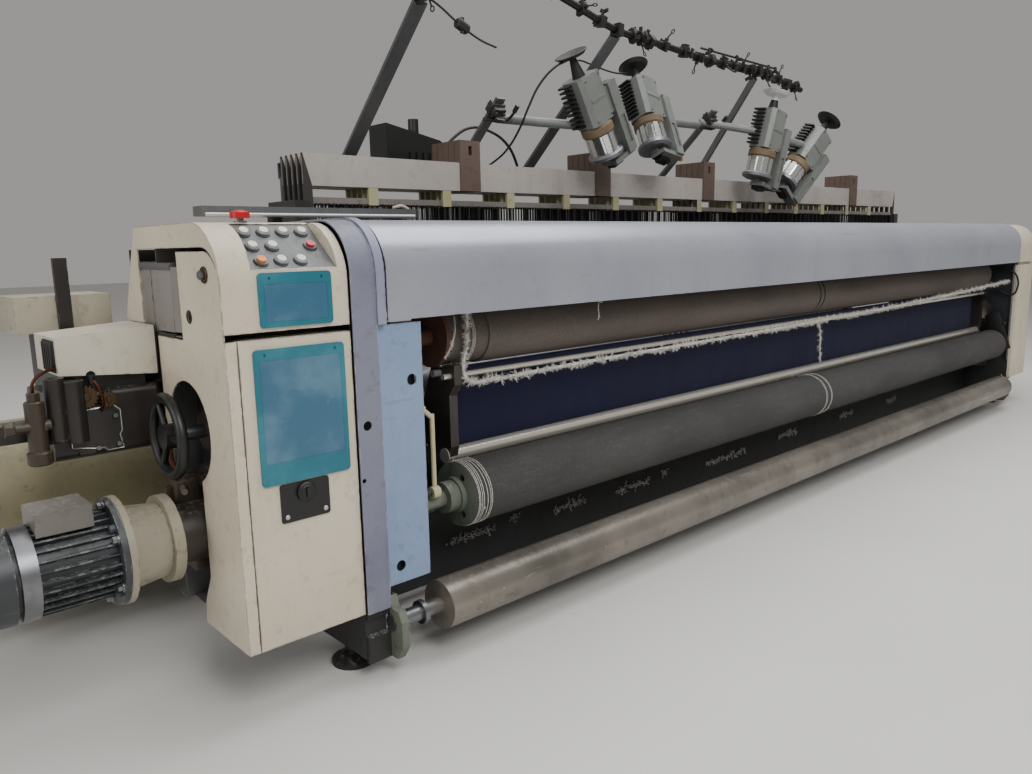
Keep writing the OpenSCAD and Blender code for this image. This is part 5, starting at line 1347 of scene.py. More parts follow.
@dataclass(frozen=True)
class WasteRope(Piece):
    """The white selvedge waste that hangs down at the left and runs across under the cover.

    Attributes:
        radius: Radius of the twisted core.
    """

    radius: float = 5.5

    def build(self) -> None:
        """Lays the core along its route and sets loose fibres all along it."""
        rope = Bench.done(Bench.curve("waste_rope_core", ROPE_ROUTE, self.radius), ROPE)
        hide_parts("waste_rope")
        fringe = Fuzz("waste_rope_fringe", ROPE_ROUTE[4:], 900, (15.0, 34.0), 1.0, 0.12, 11).build()
        bundle = Fuzz("waste_rope_bundle", ROPE_ROUTE[:6], 110, (9.0, 20.0), 3.0, 0.3, 12).build()
        declare_cord(ROPE_ROUTE, self.radius)


@dataclass(frozen=True)
class ClothWeb(Piece):
    """The navy cloth that hangs from the rear tension bar behind the bright bar.

    Attributes:
        left: Left selvedge.
        right: Right selvedge.
        bar: Middle of the rear bar, in y and z.
        wrap: Radius at which the cloth wraps the bar.
        low: Height of its lower edge.
        front: Length in front of the bar.
        ease: Depth of the slack folds.
        wrap_steps: Steps of the section round the bar.
        drop_steps: Steps of the section below it.
        columns: Steps across the loom.
        thick: Thickness of the cloth.
    """

    left: float = -2033.0
    right: float = 2384.0
    bar: tuple[float, float] = (-712.0, 768.0)
    wrap: float = 12.2
    low: float = 480.0
    front: float = 26.0
    ease: float = 9.0
    wrap_steps: int = 8
    drop_steps: int = 10
    columns: int = 260
    thick: float = 1.0

    def profile(self) -> list[tuple[float, float]]:
        """Points of the cloth's section in y and z, from its front edge over the bar and down.

        Returns:
            The points in mm.
        """
        y, z = self.bar
        points = [(y - self.wrap, z - self.front), (y - self.wrap, z - self.front / 2)]
        for i in range(self.wrap_steps + 1):
            turn = math.pi * i / self.wrap_steps
            points.append((y - self.wrap * math.cos(turn), z + self.wrap * math.sin(turn)))
        drop = z - self.low
        points += [(y + self.wrap, z - drop * i / self.drop_steps) for i in range(1, self.drop_steps + 1)]
        return points

    def length(self) -> float:
        """Length of the section."""
        points = [Vector(p) for p in self.profile()]
        return sum((b - a).length for a, b in zip(points, points[1:]))

    @staticmethod
    def slack(x: float, row: int) -> float:
        """How far the slack cloth stands out at a place, from 0 to 1.

        Args:
            x: Place across the loom.
            row: Row of the section.

        Returns:
            The share.
        """
        fold = 0.5 + 0.5 * math.sin(x * 0.011 + 1.6 * math.sin(x * 0.0031) + row * 0.16)
        small = 0.5 + 0.5 * math.sin(x * 0.047 + row * 0.5)
        return 0.8 * fold + 0.2 * small

    def build(self) -> None:
        """Bends a finely divided sheet over the bar and lets slack folds form below it."""
        section = self.profile()
        rows = len(section) - 1
        hung = rows - self.drop_steps + 1
        bpy.ops.mesh.primitive_grid_add(x_subdivisions=self.columns, y_subdivisions=rows, size=2.0)
        web = Bench.added("navy_cloth_web")
        for vertex in web.data.vertices:
            row = round((vertex.co.y + 1) / 2 * rows)
            y, z = section[row]
            x = self.left + (self.right - self.left) * (vertex.co.x + 1) / 2
            hang = max(0.0, (row - hung) / (rows - hung))
            vertex.co = Vector((x, y + hang * self.ease * self.slack(x, row), z)) * MM
        bpy.ops.object.modifier_add(type="SOLIDIFY")
        thickness = web.modifiers[-1]
        thickness.thickness = self.thick * MM
        thickness.offset = 0.0
        bpy.ops.object.modifier_apply(modifier=thickness.name)
        Bench.done(web, NAVY)
        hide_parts("cloth_web")
        flat = ((self.right - self.left) * MM, self.length() * MM)


@dataclass(frozen=True)
class Cable(Piece):
    """A black cable that hangs between two fixed ends.

    Attributes:
        name: Name of the piece.
        route: Points that it passes through.
        radius: Its radius.
    """

    name: str
    route: tuple[Point, ...]
    radius: float = 4.5

    def build(self) -> None:
        cable = Bench.done(Bench.curve(self.name, self.route, self.radius), RUBBER)
        declare_cord(self.route, self.radius)


CABLES = (
    Cable(
        "feeder_cable_left",
        ((-1042, -262, 1862), (-1086, -240, 1836), (-1128, -190, 1770), (-1150, -150, 1690),
         (-1156, -100, 1610), (-1150, -20, 1540), (-1132, 90, 1496), (-1110, 226, 1466)),
    ),
    Cable(
        "feeder_cable_middle",
        ((-990, -250, 1868), (-930, -224, 1884), (-800, -180, 1890), (-660, -140, 1890),
         (-540, -106, 1898), (-450, -84, 1912)),
        4.0,
    ),
    Cable(
        "supply_cable",
        ((-1292, 250, 1540), (-1240, 236, 1600), (-1150, 220, 1650), (-1040, 214, 1640),
         (-940, 216, 1590), (-880, 226, 1520), (-850, 240, 1466)),
        6.5,
    ),
    Cable(
        "right_hose",
        ((2560, -770, 905), (2562, -830, 908), (2564, -880, 896), (2566, -910, 850),
         (2566, -912, 790), (2564, -892, 748), (2562, -850, 748), (2560, -800, 776)),
        6.0,
    ),
)


@dataclass(frozen=True)
class YarnBand(Piece):
    """White yarn wound once or more round a roller, with loose fibres.

    Attributes:
        name: Name of the piece.
        body: Body of the roller.
        axis_place: The roller's axis, in y and z.
        radius: Radius of the roller.
        places: Positions of the windings along X.
        fluffy: Number of tufts on each winding.
        thick: Radius of the yarn.
        steps: Points of a winding.
    """

    name: str
    body: str
    axis_place: tuple[float, float]
    radius: float
    places: tuple[float, ...]
    fluffy: int
    thick: float = 0.9
    steps: int = 24

    def winding(self, x: float, lean: float) -> list[Point]:
        """Points of one closed winding, a little out of true.

        Args:
            x: Place along the roller.
            lean: How far it runs to and fro.

        Returns:
            The points in mm.
        """
        y, z = self.axis_place
        reach = self.radius + 1
        turns = [FULL_TURN * i / self.steps for i in range(self.steps + 1)]
        return [
            (x + lean * math.cos(turn), y + reach * math.cos(turn), z + reach * math.sin(turn))
            for turn in turns
        ]

    def build(self) -> None:
        """Winds the rings and adds their fibres."""
        rng = random.Random(len(self.name))
        loops = [self.winding(x, rng.uniform(-3.0, 3.0)) for x in self.places]
        rings = [
            Bench.strand(f"{self.name}_{number}", loop, self.thick) for number, loop in enumerate(loops)
        ]
        Bench.group(self.name, ROPE, rings, self.body)
        for number, loop in enumerate(loops):
            name = f"{self.name}_fibres_{number}"
            Fuzz(name, loop, self.fluffy, (5.0, 10.0), 1.0, 0.1, number + 5, self.body).build()


YARN_BANDS = (
    YarnBand(
        "sand_left_yarn", "sand_roller", SAND_AXIS, 96.0,
        (-2099, -2091, -2084, -2076, -2066, -2055, -2046), 8,
    ),
    YarnBand("sand_middle_yarn", "sand_roller", SAND_AXIS, 96.0, (-23, -13, 23, 31), 6),
    YarnBand("take_up_left_yarn", "take_up_roller", TAKE_UP_AXIS, 89.0, (-1998, -1992, -1986), 26),
)


@dataclass(frozen=True)
class LooseEnd(Piece):
    """A loose strand of white yarn with fibres along it.

    Attributes:
        name: Name of the piece.
        route: Points along it, from where it is held.
        radius: Radius of the twisted yarn.
        tufts: Number of tufts.
        length: Shortest and longest fibre.
        droop: How much the fibres hang down, from 0 to 1.
        seed: Start of the random numbers.
        far_end: What its other end is.
    """

    name: str
    route: tuple[Point, ...]
    radius: float
    tufts: int
    length: tuple[float, float]
    droop: float
    seed: int
    far_end: str = "bare"

    def build(self) -> None:
        strand = Bench.done(Bench.curve(self.name, self.route, self.radius), ROPE)
        fibres = Fuzz(
            f"{self.name}_fibres", self.route, self.tufts, self.length, 0.6, self.droop, self.seed
        ).build()
        declare_cord(self.route, self.radius, self.far_end)


LOOSE_ENDS = (
    LooseEnd(
        "neck_strand", ((-2050, -760, 936), (-2069, -784, 892), (-2084, -783, 853), (-2094, -766, 818)),
        3.0, 46, (6.0, 14.0), 0.3, 8, "object",
    ),
    LooseEnd(
        "cover_thread",
        ((-1503, -862, 962), (-1503, -839, 945), (-1504, -839, 925), (-1501, -838, 905),
         (-1506, -840, 890)),
        1.3, 10, (6.0, 12.0), 0.7, 3,
    ),
    LooseEnd(
        "hanging_strand", ((76, -806, 752), (84, -811, 700), (86, -811, 640), (92, -812, 572)),
        2.4, 44, (9.0, 20.0), 0.3, 4,
    ),
)


@dataclass(frozen=True)
class Lint(Piece):
    """Clumps of lint that have settled on the lower beam.

    Attributes:
        clumps: Start and end of each clump along X, with its height.
        front: Front of the beam.
        steps: Steps of the scattered line in a clump.
        spacing: Distance between two tufts.
    """

    clumps: tuple[Point, ...] = (
        (-2010, -1800, 192), (-1740, -1690, 206), (-1520, -1350, 186), (-1180, -960, 176),
        (-880, -840, 190), (-560, -240, 168), (60, 240, 176), (700, 860, 180), (1300, 1420, 178),
    )
    front: float = -632.0
    steps: int = 90
    spacing: float = 1.4

    def build(self) -> None:
        """Lays tufts along the front of the beam, clump by clump."""
        for number, (left, right, height) in enumerate(self.clumps):
            rng = random.Random(number + 40)
            line = [
                (
                    left + (right - left) * i / self.steps,
                    self.front + rng.uniform(-1, 1),
                    height + rng.gauss(0, 9),
                )
                for i in range(self.steps + 1)
            ]
            count = max(20, round((right - left) / self.spacing))
            Fuzz(f"lint_{number}", line, count, (6.0, 15.0), 0.5, 0.2, number + 60).build()


# Harness


@dataclass(frozen=True)
class Healds(Piece):
    """The rows of flat wire healds in the five heald frames.

    Attributes:
        pitch: Distance between two healds.
        low: Lower end of a heald.
        high: Upper end of a heald.
        left: First heald.
        right: Last heald.
        first_y: Middle of the first frame.
        frame_step: Distance between two frames.
        shift: How far the healds of one frame stand beside those of the last.
    """

    pitch: float = 14.0
    low: float = 1030.0
    high: float = 1300.0
    left: float = -2098.0
    right: float = 2392.0
    first_y: float = -114.0
    frame_step: float = 36.0
    shift: float = 5.0

    def heald(self, x: float, y: float) -> Object:
        """One heald: a thin strip with a ring-shaped eye halfway up.

        Args:
            x: Its place across the loom.
            y: Middle of its frame.

        Returns:
            The heald.
        """
        middle = (self.low + self.high) / 2
        strip = Bench.block("heald", (x - 1.0, y - 1.2, self.low), (x + 1.0, y + 1.2, self.high), 0.3)
        bpy.ops.mesh.primitive_torus_add(
            location=(x * MM, y * MM, middle * MM),
            rotation=Axis.X.value,
            major_radius=3.4 * MM,
            minor_radius=0.8 * MM,
            major_segments=6,
            minor_segments=3,
        )
        return Bench.join("heald", [strip, Bench.added("heald_eye")])

    def build(self) -> None:
        """Models one heald for each frame and repeats it across the loom."""
        count = int((self.right - self.left) / self.pitch)
        for number in range(1, 6):
            x = self.left + number * self.shift % self.pitch
            heald = self.heald(x, self.first_y + self.frame_step * (number - 1))
            Bench.repeat(heald, count, (self.pitch, 0.0, 0.0))
            heald.name = heald.data.name = f"healds_{number}"
            Bench.done(heald, WIRE, f"heald_frame_{number}")


# Fittings of the weft supply


PIPE_ROUTE: tuple[Point, ...] = (
    (-1800, -318, 1962), (-1640, -318, 2052), (-1450, -320, 2102), (-1250, -326, 2092),
    (-1059, -338, 2046), (-830, -344, 1992), (-509, -338, 1980), (-216, -330, 1968),
    (30, -326, 1966), (276, -322, 1970), (500, -316, 1954), (734, -308, 1932),
)


def along_pipe(place: float) -> tuple[Vector, Vector]:
    """Point and direction at a place along the guide pipe, counted in its route points.

    Args:
        place: Number of a route point, with a share of the way to the next.

    Returns:
        The point in mm and the direction.
    """
    index = min(int(place), len(PIPE_ROUTE) - 2)
    before, a, b, after = (
        Vector(PIPE_ROUTE[max(0, min(len(PIPE_ROUTE) - 1, index + i))]) for i in (-1, 0, 1, 2)
    )
    t = place - index
    spot = 0.5 * (
        2 * a + (b - before) * t + (2 * before - 5 * a + 4 * b - after) * t**2
        + (3 * a - before - 3 * b + after) * t**3
    )
    return spot, (b - a).normalized()


@dataclass(frozen=True)
class PipeFittings(Piece):
    """Clamps with wing screws and thread eyes along the yarn guide pipe.

    Attributes:
        wing_places: Places of the plain clamps and their roll in degrees.
        eye_places: Places of the clamps with a thread eye and their roll in degrees.
    """

    wing_places: tuple[tuple[float, float], ...] = (
        (0.8, 20), (1.6, -150), (3.3, 60), (4.6, 10), (5.35, 70), (5.7, -40), (6.5, 100),
        (7.3, -20), (8.1, 35), (8.7, 180), (9.5, 60), (10.3, -70),
    )
    eye_places: tuple[tuple[float, float], ...] = (
        (0.3, 200), (2.5, 150), (4.1, 80), (5.5, 160), (6.0, 30), (6.9, 200), (7.7, 120),
        (8.4, 20), (9.3, 150), (9.9, 10), (10.6, 160),
    )

    def clamp(self, half: float) -> list[Object]:
        """A split clamp block with its screw, round a pipe along X.

        Args:
            half: Half its length along the pipe.

        Returns:
            Its parts.
        """
        block = Bench.block("clamp", (-half, -23, -21), (half, 23, 21), 2.0)
        lip = Bench.block("clamp_lip", (-half + 2, 20, -12), (half - 2, 34, 12), 1.5)
        screw = Bench.rod("clamp_screw", (0, 29, -20), (0, 29, 22), 3.6, 8)
        return [block, lip, screw]

    def wing_clamp(self) -> Object:
        """A clamp with a wing screw on top.

        Returns:
            The clamp.
        """
        stem = Bench.rod("wing_stem", (0, 0, 20), (0, 0, 40), 6.5, 12)
        wings = [
            Bench.block(
                "wing", (-4, -15 + side * 11, 34), (4, 7 + side * 11, 50), 2.5, (side * 0.35, 0.0, 0.0)
            )
            for side in (-1, 1)
        ]
        return Bench.join("wing_clamp", [*self.clamp(14.0), stem, *wings])

    def eye_clamp(self) -> Object:
        """A narrow clamp with a long bent wire that ends in a thread eye.

        Returns:
            The clamp.
        """
        wire = Bench.strand("eye_wire", ((0, 0, 18), (0, -3, 38), (5, -6, 56)), 3.2)
        eye = Bench.ring("thread_eye", (8, -7, 65), Axis.Y, 8.5, 2.6, 16)
        nut = Bench.rod("eye_nut", (0, 0, 20), (0, 0, 31), 9.0, 6)
        return Bench.join("eye_clamp", [*self.clamp(9.0), wire, eye, nut])

    def place(self, name: str, model: Object, spots: Sequence[tuple[float, float]]) -> None:
        """Copies a model to its places along the pipe.

        Args:
            name: Name of the joined piece.
            model: The clamp at the origin, with the pipe along X.
            spots: Places along the pipe and rolls in degrees.
        """
        copies = []
        for number, (at, roll) in enumerate(spots):
            spot, heading = along_pipe(at)
            turn = heading.to_track_quat("X", "Z").to_matrix().to_4x4()
            roll_turn = Matrix.Rotation(math.radians(roll), 4, "X")
            place = Matrix.Translation(spot * MM) @ turn @ roll_turn
            copies.append(Bench.copy(model, f"{name}_{number}", place))
        Bench.remove(model)
        Bench.group(name, IRON_BLACK, copies)

    def build(self) -> None:
        """Models the two kinds of clamp and copies them along the pipe."""
        self.place("wing_clamps", self.wing_clamp(), self.wing_places)
        self.place("eye_clamps", self.eye_clamp(), self.eye_places)
        bent = (
            (-1790, -320, 1966), (-1731, -320, 1944), (-1640, -320, 1896), (-1545, -320, 1857),
            (-1470, -320, 1842),
        )
        rods = [
            Bench.strand("left_rod", bent, 4.0),
            Bench.rod("rod_bead", (-1646, -320, 1899), (-1606, -320, 1882), 19.0, 16, 0.3),
            Bench.rod("rod_wing", (-1626, -320, 1868), (-1626, -320, 1918), 8.0, 8),
            Bench.rod("long_rod", (-217, -326, 2012), (443, -320, 2004), 5.0, 10),
            Bench.rod("long_rod_post_a", (-150, -328, 1970), (-150, -326, 2022), 7.0, 8),
            Bench.rod("long_rod_post_b", (380, -320, 1962), (380, -320, 2014), 7.0, 8),
        ]
        Bench.group("pipe_rods", IRON_BLACK, rods)


@dataclass(frozen=True)
class ArmClamps(Piece):
    """Clamp heads with levers at the tops of the arms that hold the feeders' tubes.

    Attributes:
        tops: Top of each arm.
        foot: Foot of the arms on the rail, in y and z.
    """

    tops: tuple[Point, ...] = ((-1225, -66, 1728), (180, -141, 1797))
    foot: tuple[float, float] = (214.0, 1476.0)

    def head(self) -> Object:
        """A clamp head on an arm that points up, with two nuts and a bent lever.

        Returns:
            The head.
        """
        parts = [
            Bench.block("head_block", (-34, -17, -74), (34, 17, -22), 4.0),
            Bench.block("head_jaw", (-30, -38, -66), (30, -14, -30), 5.0),
            Bench.rod("head_bolt_a", (-20, -46, -48), (-20, 24, -48), 8.0, 6),
            Bench.rod("head_bolt_b", (20, -46, -48), (20, 24, -48), 8.0, 6),
            Bench.rod("head_pin", (-50, -26, -92), (50, -26, -92), 9.0, 12),
            Bench.strand(
                "head_lever", ((44, -26, -92), (62, -30, -84), (70, -38, -44), (66, -40, -20)), 6.0
            ),
            Bench.rod("head_grip", (67, -40, -28), (64, -41, 4), 10.0, 12),
        ]
        return Bench.join("clamp_head", parts)

    def build(self) -> None:
        """Sets a copy of the clamp head near the top of each arm."""
        model = self.head()
        heads = []
        for number, top in enumerate(self.tops):
            lean = math.atan2(self.foot[0] - top[1], top[2] - self.foot[1])
            place = Matrix.Translation(Vector(top) * MM) @ Matrix.Rotation(lean, 4, "X")
            heads.append(Bench.copy(model, f"clamp_head_{number}", place))
        Bench.remove(model)
        Bench.group("arm_clamps", IRON_DARK, heads)


@dataclass(frozen=True)
class FeederFittings(Piece):
    """Cap screws and grip ribs on the weft feeders.

    Attributes:
        screw_x: Places of the screws across a housing.
        screw_z: Places of the screws along it.
        front: The housing's front.
    """

    screw_x: tuple[int, int] = (-38, 50)
    screw_z: tuple[int, int] = (-104, -274)
    front: float = -59.5

    def build(self) -> None:
        """Adds a cap screw in each corner of every housing's front and a rib across its end."""
        screw = Bench.rod("cap_screw", (0, 0, -3), (0, 0, 3), 4.6, 10)
        facing = Matrix.Rotation(math.pi / 2, 4, "X")
        screws = []
        ribs = []
        for number, place in enumerate(FEEDERS):
            seat = Matrix.Translation(Vector(place.disc) * MM) @ place.turn.to_4x4()
            for x in self.screw_x:
                for z in self.screw_z:
                    spot = Matrix.Translation(Vector((x, self.front, z)) * MM) @ facing
                    screws.append(Bench.copy(screw, f"screw_{number}_{x}_{z}", seat @ spot))
            rib = Bench.block(f"rib_{number}", (-40, -62, -196), (52, -58, -180), 1.2)
            rib.data.transform(seat)
            ribs.append(rib)
        Bench.remove(screw)
        Bench.group("feeder_screws", STEEL, screws)
        Bench.group("feeder_ribs", SHELL, ribs)


# Fittings of the left end


def around(centre: tuple[float, float], radius: float, degrees: float) -> tuple[float, float]:
    """Point of a circle about X, in y and z."""
    turn = math.radians(degrees)
    return centre[0] + radius * math.cos(turn), centre[1] + radius * math.sin(turn)


@dataclass(frozen=True)
class ColumnFittings(Piece):
    """Bolt, liner, cabinet, knob boss and rivets of the control column.

    Attributes:
        bolt: Place of the bolt on the inner plate, in y and z.
        hole: Place of the hole beside it.
        plate_x: Outer face of that plate.
        door_y: Front of the selector plate on the door.
        knob: Place of the selector knob, in x and z.
        rivets: Places of the selector plate's rivets along X.
        rivet_z: Height of the rivets.
        ribs: Places of the cabinet's ribs along Y.
    """

    bolt: tuple[float, float] = (-822.0, 1088.0)
    hole: tuple[float, float] = (-712, 989)
    plate_x: float = -2800.0
    door_y: float = -904.0
    knob: tuple[float, float] = (-2632, 568)
    rivets: tuple[int, int] = (-2683, -2582)
    rivet_z: float = 514
    ribs: tuple[int, int] = (-345, -470)

    def build(self) -> None:
        """Adds the fittings of the inner plate, the window and the door."""
        self.plate()
        self.window()
        self.door()

    def plate(self) -> None:
        """Adds the bolt with its washer and the hole's liner."""
        x = self.plate_x
        washer = Bench.rod("washer", (x - 3, *self.bolt), (x + 1, *self.bolt), 19.0, 28, 0.08)
        head = Bench.rod("bolt_head", (x - 13, *self.bolt), (x - 2, *self.bolt), 10.5, 6)
        Bench.done(washer, BRASS_OILY)
        Bench.done(head, STEEL)
        liner = Bench.ring("hole_liner", (x - 0.5, *self.hole), Axis.X, 14.5, 1.8, 32)
        Bench.done(liner, IRON_BLACK)

    def window(self) -> None:
        """Adds the cabinet and the dark sheets that show through the column's window."""
        cabinet = [Bench.block("cabinet_box", (-2796, -600, 943), (-2700, -326, 1097), 3.0)]
        cabinet += [
            Bench.block(f"cabinet_rib_{at}", (-2798.5, at, 945), (-2795, at + 9, 1095), 1.0)
            for at in self.ribs
        ]
        Bench.group("cabinet", CABINET, cabinet)
        flange = Bench.block("cabinet_flange", (-2799, -604, 1098), (-2696, -322, 1114), 1.5)
        Bench.done(flange, STEEL_GREY)
        inside = [
            Bench.block("cabinet_back", (-2690, -606, 1100), (-2684, -316, 1147), 0.8),
            Bench.block("cabinet_side", (-2796, -321, 1116), (-2690, -315, 1147), 0.8),
            Bench.block("column_shroud", (-2799, -602, 812), (-2791, -302, 940), 0.8),
        ]
        Bench.group("column_inside", IRON_BLACK, inside)
        gasket = Bench.block("cover_gasket", (-2806, -478, 836), (-2800.5, -284, 955), 0.8)
        Bench.done(gasket, IRON_BLACK)

    def door(self) -> None:
        """Adds the selector knob's boss and the plate's rivets."""
        x, z = self.knob
        y = self.door_y
        boss = [
            Bench.rod("boss", (x, y - 6, z), (x, y + 2, z), 24.0, 32),
            Bench.rod("boss_ring", (x, y - 9, z), (x, y - 5, z), 17.0, 32),
        ]
        Bench.group("selector_boss", BLACK, boss)
        rivets = [
            Bench.rod(f"rivet_{at}", (at, y - 1.5, self.rivet_z), (at, y + 3, self.rivet_z), 6.0, 16, 0.3)
            for at in self.rivets
        ]
        Bench.group("plate_rivets", BAR_GREY, rivets)


@dataclass(frozen=True)
class PickingFittings(Piece):
    """Open gears, oil pipes and valve parts on the front of the picking unit.

    Attributes:
        face_y: Front of the unit's box.
        outline: Edge of the notched plate, in x and z.
        studs: Places of the plate's studs, in x and z.
        valve: Middle of the upright valve, in x.
    """

    face_y: float = -470.0
    outline: tuple[tuple[int, int], ...] = (
        (-3023, 673), (-3023, 767), (-2996, 768), (-2990, 762), (-2960, 763), (-2922, 768),
        (-2906, 752), (-2906, 700), (-2912, 690), (-2906, 655), (-2944, 654), (-2950, 662),
        (-2976, 664), (-3023, 673),
    )
    studs: tuple[tuple[int, int], ...] = ((-3010, 756), (-2920, 740), (-2918, 668), (-2966, 665))
    valve: int = -3098

    def gear(self, name: str, centre: tuple[float, float], radius: float, teeth: int) -> Object:
        """A spur gear about Y with its hub.

        Args:
            name: Name of the piece.
            centre: Its middle in x and z.
            radius: Root radius.
            teeth: Number of teeth.

        Returns:
            The piece.
        """
        x, z = centre
        bpy.ops.mesh.primitive_cylinder_add(
            vertices=2 * teeth, radius=radius * MM, depth=12 * MM,
            location=(x * MM, (self.face_y - 16) * MM, z * MM), rotation=Axis.Y.value,
        )
        wheel = Bench.added(name)
        sides = [face.index for face in wheel.data.polygons if len(face.vertices) == 4]
        toothed = set(sides[::2])
        Bench.pick(wheel, lambda face: face.index in toothed)
        bpy.ops.mesh.extrude_faces_move(TRANSFORM_OT_shrink_fatten={"value": 3.6 * MM})
        bpy.ops.object.mode_set(mode="OBJECT")
        hub = Bench.rod(f"{name}_hub", (x, self.face_y - 30, z), (x, self.face_y - 2, z), radius * 0.36, 16)
        return Bench.join(name, [wheel, hub])

    def build(self) -> None:
        """Adds the gears, the plate's edge, the valve, the pipes and the cover's details."""
        gears = [
            self.gear("gear_large", (-2984, 796), 25.0, 18),
            self.gear("gear_small", (-2934, 784), 17.0, 13),
        ]
        Bench.group("picking_gears", BRASS_OILY, gears)
        edge = tuple((x, self.face_y - 10, z) for x, z in self.outline)
        Bench.done(Bench.strand("plate_bright_edge", edge, 2.0, True), WORN_EDGE)
        self.add_valve()
        studs = [
            Bench.rod(f"stud_{x}_{z}", (x, self.face_y - 20, z), (x, self.face_y - 8, z), 6.5, 6)
            for x, z in self.studs
        ]
        Bench.group("plate_studs", STEEL, studs)
        self.add_pipes()
        self.add_cover_details()

    def add_valve(self) -> None:
        """Adds the upright valve with its side branch."""
        x, y = self.valve, self.face_y - 30
        side = y - 4
        parts = [
            Bench.rod("valve_body", (x, y, 676), (x, y, 800), 22.0, 24),
            Bench.rod("valve_cap", (x, y, 800), (x, y, 822), 15.0, 6),
            Bench.rod("valve_side", (-3150, side, 744), (-3070, side, 744), 13.0, 20),
            Bench.rod("valve_nut", (-3164, side, 744), (-3146, side, 744), 17.0, 6),
            Bench.rod("valve_foot", (x, y, 655), (x, y, 680), 28.0, 24),
            Bench.rod("valve_link", (x, self.face_y - 8, 700), (-3052, self.face_y + 4, 700), 12.0, 16),
        ]
        Bench.group("picking_valve", RUSTY, parts)

    def add_pipes(self) -> None:
        """Bends the two thin oil pipes."""
        y = self.face_y
        down = ((-2965, y - 12, 838), (-2956, y - 26, 818), (-2948, y - 26, 780), (-2950, y - 14, 756))
        over = (
            (self.valve, y - 30, 820), (-3096, y - 40, 850), (-3070, y - 30, 868), (-3040, y - 2, 870)
        )
        pipes = [Bench.strand("pipe_a", down, 4.0), Bench.strand("pipe_b", over, 4.0)]
        Bench.group("oil_pipes", COPPER_PIPE, pipes)

    def add_cover_details(self) -> None:
        """Adds the grille, the cable gland and the stack of spring plates."""
        y = self.face_y
        grille = [Bench.block("grille_back", (-3039, -466, 858), (-3033, -372, 936), 1.0)]
        grille += [
            Bench.block(f"grille_slat_{i}", (-3044, -462 + 18 * i, 862), (-3037, -454 + 18 * i, 932), 1.0)
            for i in range(5)
        ]
        Bench.group("cover_grille", IRON_BLACK, grille)
        gland = Bench.rod("cable_gland", (-2966, y - 13, 846), (-2966, y - 13, 826), 8.0, 12)
        Bench.done(gland, BLACK)
        fins = [
            Bench.block(f"coil_fin_{i}", (-3054 + 5 * i, y - 17, 812), (-3051 + 5 * i, y - 1, 846), 0.6)
            for i in range(5)
        ]
        Bench.group("spring_stack", STEEL, fins)


@dataclass(frozen=True)
class DriveFittings(Piece):
    """Bolts and covers of the gearbox that shows behind the column and below the hand wheel.

    Attributes:
        cap: Middle of the bearing cap, in y and z.
        cap_circle: Radius at which its bolts stand.
        flange: Middle of the motor's flange, in y and z.
        flange_circle: Radius at which the flange's bolts stand.
    """

    cap: tuple[float, float] = (-600, 560)
    cap_circle: float = 36
    flange: tuple[float, float] = (-623, 442)
    flange_circle: float = 114.0

    def build(self) -> None:
        """Adds a bearing cap, an oil sight, a pipe, the cast case and the flange bolts."""
        parts = [
            Bench.rod("cap", (-2748, *self.cap), (-2719, *self.cap), 46.0, 32),
            Bench.rod("cap_nose", (-2766, *self.cap), (-2746, *self.cap), 18.0, 6),
        ]
        for degrees in range(0, 360, 60):
            spot = around(self.cap, self.cap_circle, degrees)
            parts.append(Bench.rod(f"cap_bolt_{degrees}", (-2756, *spot), (-2746, *spot), 6.0, 6))
        Bench.group("drive_cap", IRON_DARK, parts)
        sight = [
            Bench.rod("sight_rim", (-2738, -690, 620), (-2719, -690, 620), 20.0, 24),
            Bench.rod("sight_glass", (-2741, -690, 620), (-2736, -690, 620), 13.0, 24),
        ]
        Bench.group("oil_sight", STEEL, sight)
        pipe = ((-2722, -560, 520), (-2780, -540, 540), (-2800, -510, 600), (-2796, -490, 660))
        Bench.done(Bench.strand("drive_pipe", pipe, 5.0), COPPER_PIPE)
        case = [
            Bench.block("case_arm", (-2822, -575, 372), (-2724, -505, 566), 14.0),
            Bench.block("case_rib", (-2838, -552, 392), (-2816, -530, 548), 5.0),
            Bench.block("case_foot", (-2800, -600, 322), (-2724, -516, 380), 10.0),
            Bench.rod("case_plug", (-2836, -590, 470), (-2790, -590, 470), 24.0, 8),
            Bench.rod("case_plug_rim", (-2828, -590, 470), (-2816, -590, 470), 31.0, 32),
            Bench.strand("case_lever", ((-2800, -585, 540), (-2826, -640, 566), (-2850, -716, 574)), 8.0),
        ]
        Bench.group("drive_case", RUSTY, case)
        bolts = []
        for step in range(6):
            spot = around(self.flange, self.flange_circle, 60 * step + 30)
            bolts.append(Bench.rod(f"flange_bolt_{step}", (-3020, *spot), (-3005, *spot), 9.0, 6))
            bolts.append(Bench.rod(f"flange_washer_{step}", (-3010, *spot), (-3006, *spot), 13.0, 20))
        Bench.group("flange_bolts", STEEL, bolts)


